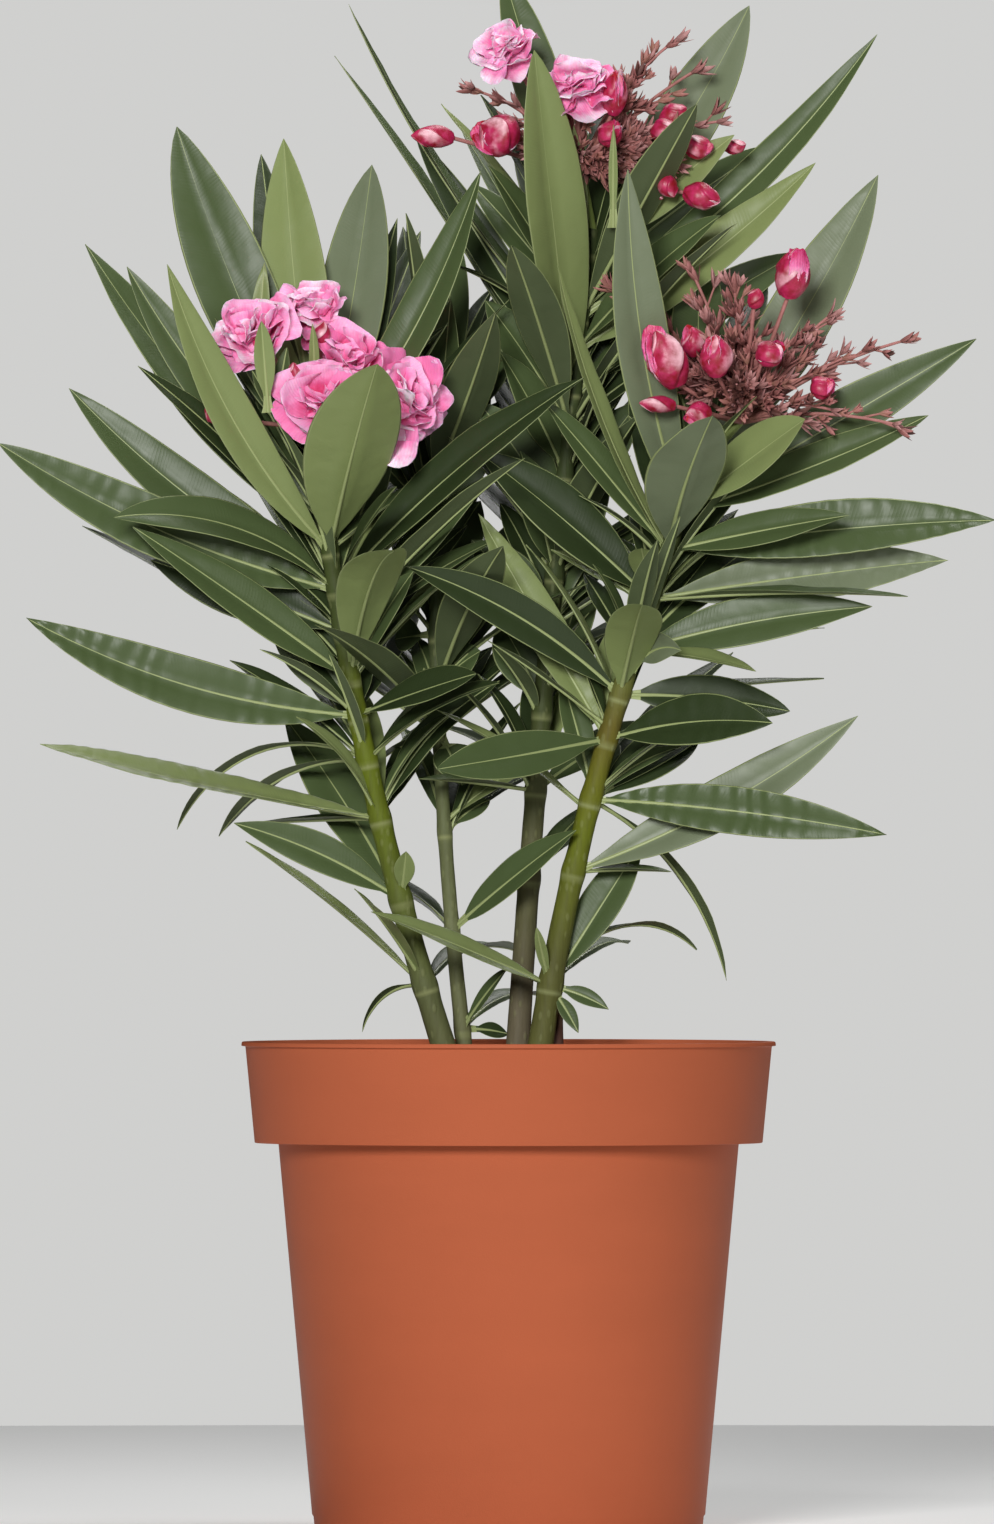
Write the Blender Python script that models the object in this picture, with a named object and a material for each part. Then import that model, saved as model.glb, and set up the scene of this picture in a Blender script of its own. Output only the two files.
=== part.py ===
"""A potted oleander: a plastic nursery pot filled with compost, four leafy stems and a cut stub.

Each stem rises whole from a flat cut at the compost and carries whorls of leaves, each whorl a ring
round the stem with its leaves fused to it. Where the leaves crowd together the crown begins: a short
length of stem with its leaves fused on. Three crowns end in a flower truss. Sizes are millimetres,
with +Z up and the origin under the middle of the pot. The front of the plant faces -Y.
"""

import math
import random
from collections import namedtuple

import bmesh
import bpy
from mathutils import Matrix, Vector
from mathutils.bvhtree import BVHTree

MM = 0.001
UP = Vector((0, 0, 1))
FRONT = Vector((0, -1, 0))
SEED = 7

# The pot is a tapered tub with a deep band round its mouth.
POT_HEIGHT = 210.0
POT_BASE_RADIUS = 84.0
POT_WALL = 2.0
POT_FLOOR = 3.0
POT_SIDES = 36
BODY_TOP_RADIUS = 99.0
BAND_BOTTOM = 166.5
BAND_BOTTOM_RADIUS = 109.2
BAND_TOP_RADIUS = 113.2
LIP_RADIUS = 115.0
LIP_HEIGHT = 2.0
FOOT_HEIGHT = 6.0
FOOT_STEP = 0.6
DRAIN_HOLES = 8
DRAIN_RADIUS = 5.0
DRAIN_CIRCLE = 66.0

# The compost fills the pot to a little under its rim and slopes down at the edge.
COMPOST_TOP = 190.0
COMPOST_EDGE_DROP = 7.0
COMPOST_EDGE_WIDTH = 22.0
COMPOST_SIDES = 28

# Clearances between solids that meet, and the ring of a whorl on its stem.
GAP = 0.35
RING_THICKNESS = 1.1
RING_HEIGHT = 5.0

Stem = namedtuple("Stem", "foot top bow foot_radius tip_radius crown_from round_to bark")
# foot is (x, y) at the compost, top is the growing tip, bow is how far the middle stands off the
# straight line, and crown_from is the height where the crown takes over from the bare stem. Up to
# the height round_to the seeded leaves grow all round the crown, and above it only at the back.
STEMS = {
    "left": Stem((-22, -6), (-82, -14, 464), (-8, 0), 5.4, 3.4, 357, 0, (0.22, 0.26, 0.05)),
    "back": Stem((-17, 12), (-32, 34, 474), (-5, 0), 3.4, 2.4, 330, 474, (0.17, 0.19, 0.08)),
    "middle": Stem((3, 17), (36, 26, 560), (-3, 0), 5.2, 3.0, 380, 480, (0.16, 0.13, 0.09)),
    "right": Stem((11, -5), (84, -10, 462), (-9, 0), 5.6, 3.4, 366, 0, (0.19, 0.21, 0.05)),
}
STEM_SIDES = 8
STEM_STEP = 16.0
ROOT_FLARE = 0.22
FLARE_HEIGHT = 9.0
STUB = Stem((19, 5), (19, 5, 224), (0, 0), 4.6, 4.4, 224, 0, (0.16, 0.08, 0.05))

Leaf = namedtuple("Leaf", "x y z width droop show")
# x, y and z place the leaf's tip. droop is how far it bends down from base to tip, in degrees, and
# show turns its face from lying flat, at 0, to facing the front, at 1.
LEAVES = {
    "left": {
        234: [
            Leaf(-113, -18, 296, 13, 8, 0.25),
            Leaf(-66, -37, 276, 16, 15, 0.3),
            Leaf(-63, 8, 214, 9, 85, 0),
        ],
        271: [
            Leaf(-118, -22, 304, 17, 14, 0.75),
            Leaf(-97, 46, 350, 24, 8, 0.85),
            Leaf(-44, -24, 292, 9, 4, 0.8),
        ],
        306: [
            Leaf(-201, -30, 338, 22, -5, 0.3),
            Leaf(-115, 17, 303, 13, 4, 0.1),
        ],
        331: [
            Leaf(-4, -52, 364, 18, 30, 0.45),
            Leaf(-143, 40, 301, 13, 85, 0),
            Leaf(-125, 47, 298, 12, 50, 0),
        ],
        350: [
            Leaf(-207, -24, 392, 24, -18, 0.85),
            Leaf(-14, -56, 368, 20, 10, 0.55),
            Leaf(-102, 6, 386, 16, 4, 0.65),
        ],
        366: [
            Leaf(-161, -39, 431, 20, 4, 0.7),
            Leaf(-49, -93, 420, 28, 60, 0.1),
            Leaf(-41, -24, 412, 17, 4, 0.55),
            Leaf(-184, 38, 432, 14, 4, 0.1),
        ],
        386: [
            Leaf(-7, -25, 454, 17, 8, 0.55),
            Leaf(-154, 7, 417, 24, 4, 0.85),
        ],
        404: [
            Leaf(-169, -45, 435, 22, 55, 0.5),
            Leaf(-219, -23, 467, 26, -12, 0.8),
            Leaf(-189, -33, 491, 24, -12, 0.75),
            Leaf(32, -37, 495, 24, 18, 0.55),
            Leaf(-48, -63, 448, 16, 25, 0.55),
        ],
        421: [
            Leaf(-56, -103, 500, 40, 10, 0),
            Leaf(-155, 7, 503, 20, 4, 0.65),
            Leaf(-146, -69, 543, 20, -26, 0.8),
            Leaf(-159, -50, 500, 14, 4, 0.65),
        ],
        434: [
            Leaf(-182, 3, 553, 24, -14, 0.6),
            Leaf(-164, -28, 543, 20, -14, 0.75),
            Leaf(1, 9, 530, 12, 8, 0.1),
        ],
        456: [
            Leaf(-143, 26, 604, 34, -20, 0.8),
            Leaf(-97, 1, 599, 29, 4, 0.85),
            Leaf(-59, 25, 588, 29, -6, 0.85),
            Leaf(-107, 67, 593, 20, 4, 0.65),
            Leaf(-12, -50, 584, 22, -16, 0.65),
            Leaf(-38, 74, 560, 16, 3, 0.85),
            Leaf(-48, 47, 565, 18, 3, 0.85),
        ],
    },
    "back": {
        215: [
            Leaf(0, -8, 242, 7, 4, 0.65),
            Leaf(0, 20, 213, 8, 10, 0.65),
        ],
        258: [Leaf(29, -19, 301, 17, 8, 0.65)],
        300: [Leaf(-8, 34, 314, 12, 20, 0.55)],
        342: [
            Leaf(-20, 15, 320, 22, 20, 0.55),
            Leaf(-55, 40, 331, 14, 30, 0.2),
        ],
        362: [Leaf(-12, 16, 378, 20, 16, 0.55)],
        385: [
            Leaf(-16, 23, 404, 22, 10, 0.65),
            Leaf(-49, 33, 383, 18, 10, 0.65),
        ],
        408: [
            Leaf(-12, 44, 443, 22, 8, 0.75),
            Leaf(-4, 24, 417, 20, 10, 0.65),
        ],
        430: [
            Leaf(-4, 39, 486, 22, 6, 0.85),
            Leaf(-38, 54, 494, 18, 4, 0.75),
        ],
        450: [Leaf(-25, 12, 529, 18, 4, 0.65)],
        468: [
            Leaf(-29, 48, 538, 17, 4, 0.7),
            Leaf(5, 38, 520, 22, 6, 0.7),
        ],
    },
    "middle": {
        280: [Leaf(39, 51, 314, 12, 20, 0.2)],
        318: [
            Leaf(-39, 9, 323, 14, 5, 0.1),
            Leaf(57, 51, 348, 14, 12, 0.65),
        ],
        352: [
            Leaf(-4, 30, 391, 24, 12, 0.75),
            Leaf(35, 53, 417, 20, 10, 0.75),
        ],
        388: [
            Leaf(-16, 18, 426, 24, 12, 0.75),
            Leaf(44, 45, 469, 20, 8, 0.75),
        ],
        410: [Leaf(5, 6, 464, 20, 8, 0.65)],
        432: [
            Leaf(-14, 16, 486, 24, 8, 0.75),
            Leaf(57, 40, 486, 22, 8, 0.75),
        ],
        454: [Leaf(-4, 8, 507, 20, 8, 0.65)],
        474: [
            Leaf(-75, 44, 635, 17, 4, 0.15),
            Leaf(-10, 10, 529, 22, 6, 0.65),
        ],
        490: [
            Leaf(11, -12, 636, 32, -10, 0.6),
            Leaf(125, 53, 550, 20, 10, 0.75),
        ],
        508: [
            Leaf(-69, 31, 657, 17, -20, 0.15),
            Leaf(132, 7, 588, 22, -20, 0.7),
            Leaf(91, -9, 565, 20, 22, 0.55),
        ],
        522: [
            Leaf(159, 37, 644, 19, -14, 0.6),
            Leaf(-16, 47, 580, 18, 4, 0.65),
            Leaf(-9, 3, 587, 18, 4, 0.55),
        ],
        536: [
            Leaf(113, 62, 597, 18, 4, 0.75),
            Leaf(-29, 4, 614, 11, 3, 0.2),
            Leaf(28, 11, 604, 10, 2, 0),
            Leaf(65, 9, 593, 14, 3, 0.55),
        ],
        550: [
            Leaf(104, 58, 657, 29, -16, 0.8),
            Leaf(-3, 58, 673, 22, 4, 0.8),
            Leaf(97, 15, 600, 19, 4, 0.75),
        ],
    },
    "right": {
        234: [
            Leaf(-59, -36, 266, 15, 5, 0.45),
            Leaf(57, 7, 295, 19, 4, 0.7),
            Leaf(43, -9, 224, 8, 16, 0.65),
            Leaf(30, -14, 214, 7, 10, 0.65),
            Leaf(81, 35, 249, 10, 100, 0),
            Leaf(12, -16, 259, 5, 4, 0.85),
        ],
        283: [
            Leaf(150, -16, 350, 23, -14, 0.75),
            Leaf(70, 18, 283, 12, 10, 0.1),
        ],
        314: [
            Leaf(162, -39, 299, 21, 14, 0.85),
            Leaf(82, 24, 340, 18, 6, 0.65),
            Leaf(94, 33, 236, 10, 50, 0),
        ],
        340: [
            Leaf(-31, -70, 327, 21, 6, 0.8),
            Leaf(113, -46, 347, 24, 12, 0.7),
            Leaf(-13, 0, 437, 20, 5, 0.7),
        ],
        359: [
            Leaf(-44, -47, 414, 24, 14, 0.85),
            Leaf(57, -82, 397, 24, 40, 0.1),
            Leaf(121, 0, 352, 20, 5, 0.75),
            Leaf(136, 35, 366, 14, 4, 0.2),
        ],
        378: [
            Leaf(136, 12, 388, 14, 4, 0.1),
            Leaf(156, -23, 397, 22, 6, 0.75),
            Leaf(106, -44, 369, 16, 8, 0.3),
        ],
        400: [
            Leaf(189, -16, 417, 24, 10, 0.85),
            Leaf(171, -44, 401, 14, 8, 0.1),
            Leaf(-14, -30, 464, 28, 4, 0.65),
            Leaf(57, -28, 422, 16, 30, 0.3),
        ],
        421: [
            Leaf(209, -14, 434, 25, 12, 0.8),
            Leaf(146, -30, 436, 18, 6, 0.6),
            Leaf(15, -40, 485, 16, 5, 0.65),
            Leaf(21, -37, 543, 14, -20, 0.5),
            Leaf(87, -86, 478, 34, 10, 0),
        ],
        438: [
            Leaf(127, -54, 477, 24, 8, 0.65),
            Leaf(180, -26, 479, 20, -18, 0.55),
            Leaf(201, -10, 512, 24, -8, 0.85),
            Leaf(51, -46, 584, 24, -20, 0.75),
            Leaf(51, -33, 499, 18, 5, 0.65),
        ],
        452: [
            Leaf(159, 17, 583, 30, -14, 0.8),
            Leaf(57, 5, 507, 22, 6, 0.85),
            Leaf(82, 42, 559, 24, 4, 0.85),
        ],
    },
}

# Half the leaf's width at stations along it, as shares of its width and length.
LEAF_OUTLINE = ((0, 0.12), (0.08, 0.13), (0.36, 0.94), (0.7, 0.84), (1, 0))
LEAF_FOLD = 0.06
LEAF_THICKNESS = 0.011
LEAST_THICKNESS = 0.9

# More leaves fan out round the back of each whorl by a seeded rule.
LOW_LEAVES = 1
BACK_LEAVES = 3
ROUND_LEAVES = 5
FAN_STEP = 62
FAN_TURN = 25
SWINGS = (0, 0.12, -0.12, 0.24, -0.24, 0.36, -0.36, 0.48, -0.48)
CLEARANCE = 0.45

Truss = namedtuple("Truss", "hub blooms buds sprays")
Bloom = namedtuple("Bloom", "x y z radius")
Bud = namedtuple("Bud", "x y z length radius slant")
# A bud's slant is the way it points seen from the front: 0 to the right and 90 up. A spray is the
# tip of a twig that carries only calyces.
TRUSSES = {
    "left": Truss(
        (-81, -20, 473),
        [
            Bloom(-109, -28, 516, 17),
            Bloom(-85, -10, 525, 14),
            Bloom(-70, -22, 503, 16),
            Bloom(-80, -50, 484, 19),
            Bloom(-44, -30, 487, 18),
        ],
        [Bud(-122, -34, 477, 10, 4, 150)],
        [],
    ),
    "middle": Truss(
        (31, 22, 584),
        [Bloom(-1, 12, 638, 13), Bloom(29, 6, 621, 15)],
        [
            Bud(-24, 12, 599, 19, 4.5, 178),
            Bud(2, 4, 596, 17, 9, 150),
            Bud(45, 8, 609, 20, 5, 86),
            Bud(62, 12, 600, 13, 5, 20),
            Bud(66, 20, 606, 13, 4.5, 30),
            Bud(76, 4, 575, 16, 5.5, -12),
            Bud(94, 16, 594, 9, 3, 15),
            Bud(60, 10, 578, 9, 3, -40),
        ],
        [(69, 20, 639), (80, 30, 628), (91, 14, 606), (-16, 26, 620), (52, 34, 622), (4, 34, 604)],
    ),
    "right": Truss(
        (100, -14, 476),
        [],
        [
            Bud(120, -30, 530, 22, 7, 80),
            Bud(105, -32, 525, 9, 3.5, 75),
            Bud(72, -38, 492, 26, 8, 112),
            Bud(80, -22, 505, 13, 5, 100),
            Bud(89, -40, 496, 18, 6.5, 92),
            Bud(108, -36, 502, 12, 5.5, 40),
            Bud(71, -34, 483, 16, 3.5, 176),
            Bud(86, -44, 480, 11, 5, 190),
            Bud(131, -30, 488, 10, 5, 40),
        ],
        [
            (44, -22, 533),
            (78, -12, 542),
            (97, -20, 533),
            (138, -16, 522),
            (173, -22, 512),
            (166, -34, 475),
            (64, -8, 518),
        ],
    ),
}
STALK_RADIUS = 2.4
TRUSS_TWIG_RADIUS = 1.5
SPRAY_TWIGS = 3
SPRAY_TWIG_LENGTH = (9, 15)
PETAL_OUTLINE = ((0, 0.25), (0.75, 1), (1, 0))
PETAL_WHORLS = ((5, 1.0, 14, 0), (3, 0.85, 52, 36))
PETAL_THICKNESS = 1.3


def clear_scene():
    for obj in list(bpy.data.objects):
        bpy.data.objects.remove(obj)


def material(name, color, roughness):
    mat = bpy.data.materials.new(name)
    mat.use_nodes = True
    shader = mat.node_tree.nodes["Principled BSDF"]
    shader.inputs["Base Color"].default_value = (*color, 1)
    shader.inputs["Roughness"].default_value = roughness
    shader.inputs["Metallic"].default_value = 0.0
    return mat


def mesh_of(name, solid, place):
    """A mesh of triangles from (points, faces) in millimetres, measured from place."""
    points, faces = solid
    mesh = bpy.data.meshes.new(name)
    mesh.from_pydata([(p - place) * MM for p in points], [], faces)
    work = bmesh.new()
    work.from_mesh(mesh)
    bmesh.ops.triangulate(work, faces=work.faces)
    work.to_mesh(mesh)
    work.free()
    return mesh


def world_place(obj):
    """Where an object stands, in metres, through all its parents."""
    return obj.location + (world_place(obj.parent) if obj.parent else Vector())


def make_object(name, mesh, place, mat, parent):
    obj = bpy.data.objects.new(name, mesh)
    bpy.context.scene.collection.objects.link(obj)
    obj.parent = parent
    obj.location = place * MM - (world_place(parent) if parent else Vector())
    mesh.materials.append(mat)
    return obj


def tube(rings):
    """(points, faces) of a closed tube through rings of equally many points."""
    count = len(rings[0])
    points = [point for ring in rings for point in ring]
    faces = [tuple(range(count))[::-1]]
    for start in range(0, (len(rings) - 1) * count, count):
        for i in range(count):
            after = (i + 1) % count
            faces.append((start + i, start + after, start + count + after, start + count + i))
    faces.append(tuple(range((len(rings) - 1) * count, len(rings) * count)))
    return points, faces


def pointed_tube(rings):
    """(points, faces) of a tube whose last ring is drawn together into a point."""
    *rings, tip = rings
    points, faces = tube(rings)
    faces.pop()
    count = len(tip)
    start = len(points) - count
    points.append(sum(tip, Vector()) / count)
    faces += [(start + i, start + (i + 1) % count, len(points) - 1) for i in range(count)]
    return points, faces


def round_ring(centre, axis, radius, sides):
    """A ring of points round an axis, counter-clockwise as seen from where the axis points."""
    turn = UP.rotation_difference(axis)
    angles = [2 * math.pi * i / sides for i in range(sides)]
    return [centre + turn @ Vector((math.cos(a), math.sin(a), 0)) * radius for a in angles]


def turned(name, profile, sides):
    """A mesh of revolution about Z from (radius, height) pairs that start and end on the axis."""
    work = bmesh.new()
    points = [work.verts.new((radius * MM, 0, height * MM)) for radius, height in profile]
    edges = [work.edges.new(ends) for ends in zip(points, points[1:])]
    bmesh.ops.spin(work, geom=points + edges, axis=UP, steps=sides, angle=2 * math.pi)
    bmesh.ops.remove_doubles(work, verts=work.verts, dist=1e-5)
    bmesh.ops.recalc_face_normals(work, faces=work.faces)
    mesh = bpy.data.meshes.new(name)
    work.to_mesh(mesh)
    work.free()
    mesh.shade_smooth()
    mesh.set_sharp_from_angle(angle=math.radians(30))
    return mesh


def boolean(obj, operation, solids, solver):
    """Joins (points, faces) solids to an object, or cuts them away, and keeps the result."""
    operands = bpy.data.collections.new("operands")
    bpy.context.scene.collection.children.link(operands)
    for solid in solids:
        operand = bpy.data.objects.new("operand", mesh_of("operand", solid, Vector()))
        operands.objects.link(operand)
    modifier = obj.modifiers.new("boolean", "BOOLEAN")
    modifier.operation = operation
    modifier.solver = solver
    modifier.operand_type = "COLLECTION"
    modifier.collection = operands
    bpy.context.view_layer.update()
    graph = bpy.context.evaluated_depsgraph_get()
    joined = bpy.data.meshes.new_from_object(obj.evaluated_get(graph))
    obj.modifiers.clear()
    obj.data = joined
    for operand in list(operands.objects):
        bpy.data.objects.remove(operand)
    bpy.data.collections.remove(operands)


def keep_outer_shell(mesh):
    """Fills sealed hollows and drops loose scraps by keeping only the mesh's largest surface."""
    work = bmesh.new()
    work.from_mesh(mesh)
    bmesh.ops.triangulate(work, faces=work.faces)
    waiting, shells = set(work.faces), []
    while waiting:
        shell, edge = set(), [waiting.pop()]
        while edge:
            face = edge.pop()
            shell.add(face)
            near = {other for side in face.edges for other in side.link_faces} & waiting
            waiting -= near
            edge.extend(near)
        shells.append(shell)
    shells.sort(key=lambda shell: sum(face.calc_area() for face in shell))
    spare = [face for shell in shells[:-1] for face in shell]
    bmesh.ops.delete(work, geom=spare, context="FACES")
    work.to_mesh(mesh)
    work.free()


def pot_profile():
    """(radius, height) up the outside of the pot, over its rim and down the inside."""
    foot_radius = POT_BASE_RADIUS + (BODY_TOP_RADIUS - POT_BASE_RADIUS) * FOOT_HEIGHT / BAND_BOTTOM
    lip_bottom = POT_HEIGHT - LIP_HEIGHT
    shelf = BAND_BOTTOM + POT_WALL
    return [
        (0, 0),
        (POT_BASE_RADIUS - 2, 0),
        (POT_BASE_RADIUS - FOOT_STEP, 1.2),
        (foot_radius - FOOT_STEP, FOOT_HEIGHT),
        (foot_radius, FOOT_HEIGHT + 0.8),
        (BODY_TOP_RADIUS, BAND_BOTTOM),
        (BAND_BOTTOM_RADIUS, BAND_BOTTOM),
        (BAND_TOP_RADIUS, lip_bottom),
        (LIP_RADIUS, lip_bottom + 0.2),
        (LIP_RADIUS - 0.3, POT_HEIGHT),
        (BAND_TOP_RADIUS - POT_WALL, POT_HEIGHT),
        (BAND_BOTTOM_RADIUS - POT_WALL, shelf),
        (BODY_TOP_RADIUS - POT_WALL, shelf),
        (POT_BASE_RADIUS - POT_WALL, POT_FLOOR),
        (0, POT_FLOOR),
    ]


def make_pot():
    plastic = material("terracotta_plastic", (0.48, 0.13, 0.06), 0.45)
    pot = make_object("pot", turned("pot", pot_profile(), POT_SIDES), Vector(), plastic, None)
    drains = []
    for i in range(DRAIN_HOLES):
        angle = 2 * math.pi * (i + 0.5) / DRAIN_HOLES
        centre = Vector((math.cos(angle), math.sin(angle), 0)) * DRAIN_CIRCLE
        ends = (centre - UP * POT_FLOOR, centre + UP * 2 * POT_FLOOR)
        drains.append(tube([round_ring(end, UP, DRAIN_RADIUS, 10) for end in ends]))
    boolean(pot, "DIFFERENCE", drains, "EXACT")


def make_compost():
    """The compost, clear of the pot's inside all round, as (radius, height) pairs from its foot up."""
    clear = POT_WALL + 1.5 * GAP
    shelf = BAND_BOTTOM + POT_WALL + GAP
    edge_radius = BAND_BOTTOM_RADIUS - clear
    profile = [
        (0, POT_FLOOR + GAP),
        (POT_BASE_RADIUS - clear, POT_FLOOR + GAP),
        (BODY_TOP_RADIUS - clear, shelf),
        (edge_radius, shelf),
        (edge_radius + GAP, COMPOST_TOP - COMPOST_EDGE_DROP),
        (edge_radius - COMPOST_EDGE_WIDTH / 3, COMPOST_TOP - COMPOST_EDGE_DROP / 4),
        (edge_radius - COMPOST_EDGE_WIDTH, COMPOST_TOP),
        (0, COMPOST_TOP),
    ]
    peat = material("peat_compost", (0.05, 0.03, 0.02), 0.95)
    make_object("compost", turned("compost", profile, COMPOST_SIDES), Vector(), peat, None)


def stem_share(stem, height):
    return (height - COMPOST_TOP) / (stem.top[2] - COMPOST_TOP)


def stem_point(stem, height):
    """The stem's axis at this height."""
    share = stem_share(stem, height)
    bulge = 4 * share * (1 - share)
    x, y = (
        stem.foot[i] + (stem.top[i] - stem.foot[i]) * share + stem.bow[i] * bulge for i in range(2)
    )
    return Vector((x, y, height))


def stem_radius(stem, height):
    share = stem_share(stem, height)
    flare = 1 + ROOT_FLARE * math.exp(-(height - COMPOST_TOP) / FLARE_HEIGHT)
    return (stem.foot_radius + (stem.tip_radius - stem.foot_radius) * share) * flare


def stem_tube(stem, low, high, grow=0.0):
    """The stem between two heights, cut level at both, and as much thicker as grow says."""
    steps = max(1, round((high - low) / STEM_STEP))
    rings = []
    for k in range(steps + 1):
        height = low + (high - low) * k / steps
        radius = stem_radius(stem, height) + grow
        rings.append(round_ring(stem_point(stem, height), UP, radius, STEM_SIDES))
    return tube(rings)


def blade_frames(base, leaf, stations, facing=FRONT):
    """The leaf's midrib as an arc: (point, direction, normal of its face) at each station."""
    reach = Vector((leaf.x, leaf.y, leaf.z)) - base
    chord, length = reach.normalized(), reach.length
    side = UP.cross(chord).normalized()
    lift = chord.cross(side)
    face = lift.lerp(facing, leaf.show)
    face = (face - chord * face.dot(chord)).normalized()
    bend = math.radians(leaf.droop) or 0.001
    frames = []
    for share in stations:
        angle = bend * (share - 0.5)
        along = 0.5 + math.sin(angle) / math.sin(bend / 2) / 2
        up = (math.cos(angle) - math.cos(bend / 2)) / math.sin(bend / 2) / 2
        turn = Matrix.Rotation(angle, 3, side)
        frames.append((base + (chord * along + lift * up) * length, turn @ chord, turn @ face))
    return frames


def blade_rings(base, leaf, thickness, grow=0.0, outline=LEAF_OUTLINE, facing=FRONT):
    """The leaf's sections, each of an edge, the keel under its midrib and the other edge."""
    frames = blade_frames(base, leaf, [share for share, _ in outline], facing)
    rings = []
    for (point, direction, face), (_, share) in zip(frames, outline, strict=True):
        across = face.cross(direction)
        wide = leaf.width / 2 * share
        top = point + face * (LEAF_FOLD * wide + grow)
        keel = point - face * (thickness + grow)
        wide += grow
        rings.append([top - across * wide, keel, top + across * wide])
    return rings


def leaf_thickness(base, leaf):
    length = (Vector((leaf.x, leaf.y, leaf.z)) - base).length
    return max(length * LEAF_THICKNESS, LEAST_THICKNESS)


def leaf_solid(base, leaf):
    return pointed_tube(blade_rings(base, leaf, leaf_thickness(base, leaf)))


class Space:
    """What already stands in the plant's space, so that a new leaf can be tested against it."""

    def __init__(self):
        self.taken = []

    def add(self, mass, solid, blade=None):
        """blade, where given, is the part that others in the same mass keep clear of."""
        self.taken.append((mass, self.tree(solid), self.tree(blade or solid)))

    @staticmethod
    def tree(solid):
        """A solid's search tree with the corners of its box."""
        points, faces = solid
        low = [min(p[i] for p in points) for i in range(3)]
        high = [max(p[i] for p in points) for i in range(3)]
        return BVHTree.FromPolygons(points, faces), low, high

    @staticmethod
    def meet(one, other):
        apart = any(one[1][i] > other[2][i] or other[1][i] > one[2][i] for i in range(3))
        return not apart and bool(one[0].overlap(other[0]))

    def is_free(self, mass, stem, whole, blade):
        """True if a leaf clears other masses, and its blade its own stem and its mass's blades."""
        whole, blade = self.tree(whole), self.tree(blade)
        for other, body, own in self.taken:
            if other == stem:
                clash = self.meet(blade, body)
            elif other == mass:
                clash = self.meet(blade, own)
            else:
                clash = self.meet(whole, body)
            if clash:
                return False
        return True


def place_leaf(space, mass, stem, base, leaf):
    """The leaf, its tip moved back or forth until it is clear of the rest, or None."""
    length = (Vector((leaf.x, leaf.y, leaf.z)) - base).length
    for swing in SWINGS:
        moved = leaf._replace(y=leaf.y + swing * length)
        thickness = leaf_thickness(base, moved)
        rings = blade_rings(base, moved, thickness, grow=CLEARANCE)
        whole, blade = tube(rings), tube(rings[2:])
        if space.is_free(mass, stem, whole, blade):
            space.add(mass, whole, blade)
            return moved
    return None


def mass_of(name, index, height):
    """The node a leaf belongs to: the whorl at this height, or the crown above crown_from."""
    return f"whorl_{name}_{index + 1}" if height < STEMS[name].crown_from else f"crown_{name}"


def seeded_leaves(rng, name, index, height):
    """A fan of leaves round the whorl's back: steep near the stem's tip and level near its foot."""
    stem = STEMS[name]
    base, share = stem_point(stem, height), stem_share(stem, height)
    count = ROUND_LEAVES if height < stem.round_to else BACK_LEAVES
    if height < stem.crown_from:
        count = LOW_LEAVES
    for k in range(count):
        turn = FAN_TURN * (-1) ** index + (k - (count - 1) / 2) * FAN_STEP + rng.uniform(-12, 12)
        turn, rise = math.radians(turn), math.radians(6 + 66 * share**1.5 + rng.uniform(-7, 7))
        length = rng.uniform(100, 132) * (1.1 - 0.3 * share)
        across = math.cos(rise)
        way = Vector((across * math.sin(turn), across * math.cos(turn), math.sin(rise)))
        width = rng.uniform(16, 24) * (0.8 + 0.3 * share)
        droop = rng.uniform(4, 16) + 18 * (1 - share)
        yield Leaf(*(base + way * length), width, droop, rng.uniform(-0.2, 0.2))


def plan_leaves(space):
    """{mass: [(base, leaf)]} for the whole plant: the listed leaves first, then the seeded ones."""
    plan = {}
    whorls = [
        (name, index, height, leaves)
        for name, nodes in LEAVES.items()
        for index, (height, leaves) in enumerate(nodes.items())
    ]
    rng = random.Random(SEED)
    listed = [(*whorl[:3], leaf) for whorl in whorls for leaf in whorl[3]]
    seeded = [(*whorl[:3], leaf) for whorl in whorls for leaf in seeded_leaves(rng, *whorl[:3])]
    for name, index, height, leaf in listed + seeded:
        mass = mass_of(name, index, height)
        base = stem_point(STEMS[name], height)
        placed = place_leaf(space, mass, f"stem_{name}", base, leaf)
        if placed:
            plan.setdefault(mass, []).append((base, placed))
    return plan


def make_stem(space, name, stem, parent):
    """The bare stem, from a flat cut at the compost to the foot of its crown."""
    bark = material(f"bark_{name}", stem.bark, 0.6)
    solid = stem_tube(stem, COMPOST_TOP + GAP, stem.crown_from)
    space.add(f"stem_{name}", solid)
    foot = stem_point(stem, COMPOST_TOP)
    return make_object(f"stem_{name}", mesh_of(name, solid, foot), foot, bark, parent)


def make_mass(name, core, solids, place, mat, parent):
    """One solid: a core with its leaves or twigs fused on."""
    obj = make_object(name, mesh_of(name, core, place), place, mat, parent)
    boolean(obj, "UNION", solids, "MANIFOLD")
    return obj


def make_whorls(name, stem, plan, mat, parent):
    """A ring round the stem at each height of the bare stem, with its leaves fused on."""
    for index, height in enumerate(LEAVES[name]):
        mass = mass_of(name, index, height)
        if height > stem.crown_from or mass not in plan:
            continue
        low, high = height - RING_HEIGHT / 2, height + RING_HEIGHT / 2
        ring = stem_tube(stem, low, high, grow=GAP + RING_THICKNESS)
        leaves = [leaf_solid(*item) for item in plan[mass]]
        whorl = make_mass(mass, ring, leaves, stem_point(stem, height), mat, parent)
        bore = stem_tube(stem, low - 3 * RING_HEIGHT, high + 3 * RING_HEIGHT, grow=GAP)
        boolean(whorl, "DIFFERENCE", [bore], "MANIFOLD")
        keep_outer_shell(whorl.data)


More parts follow.
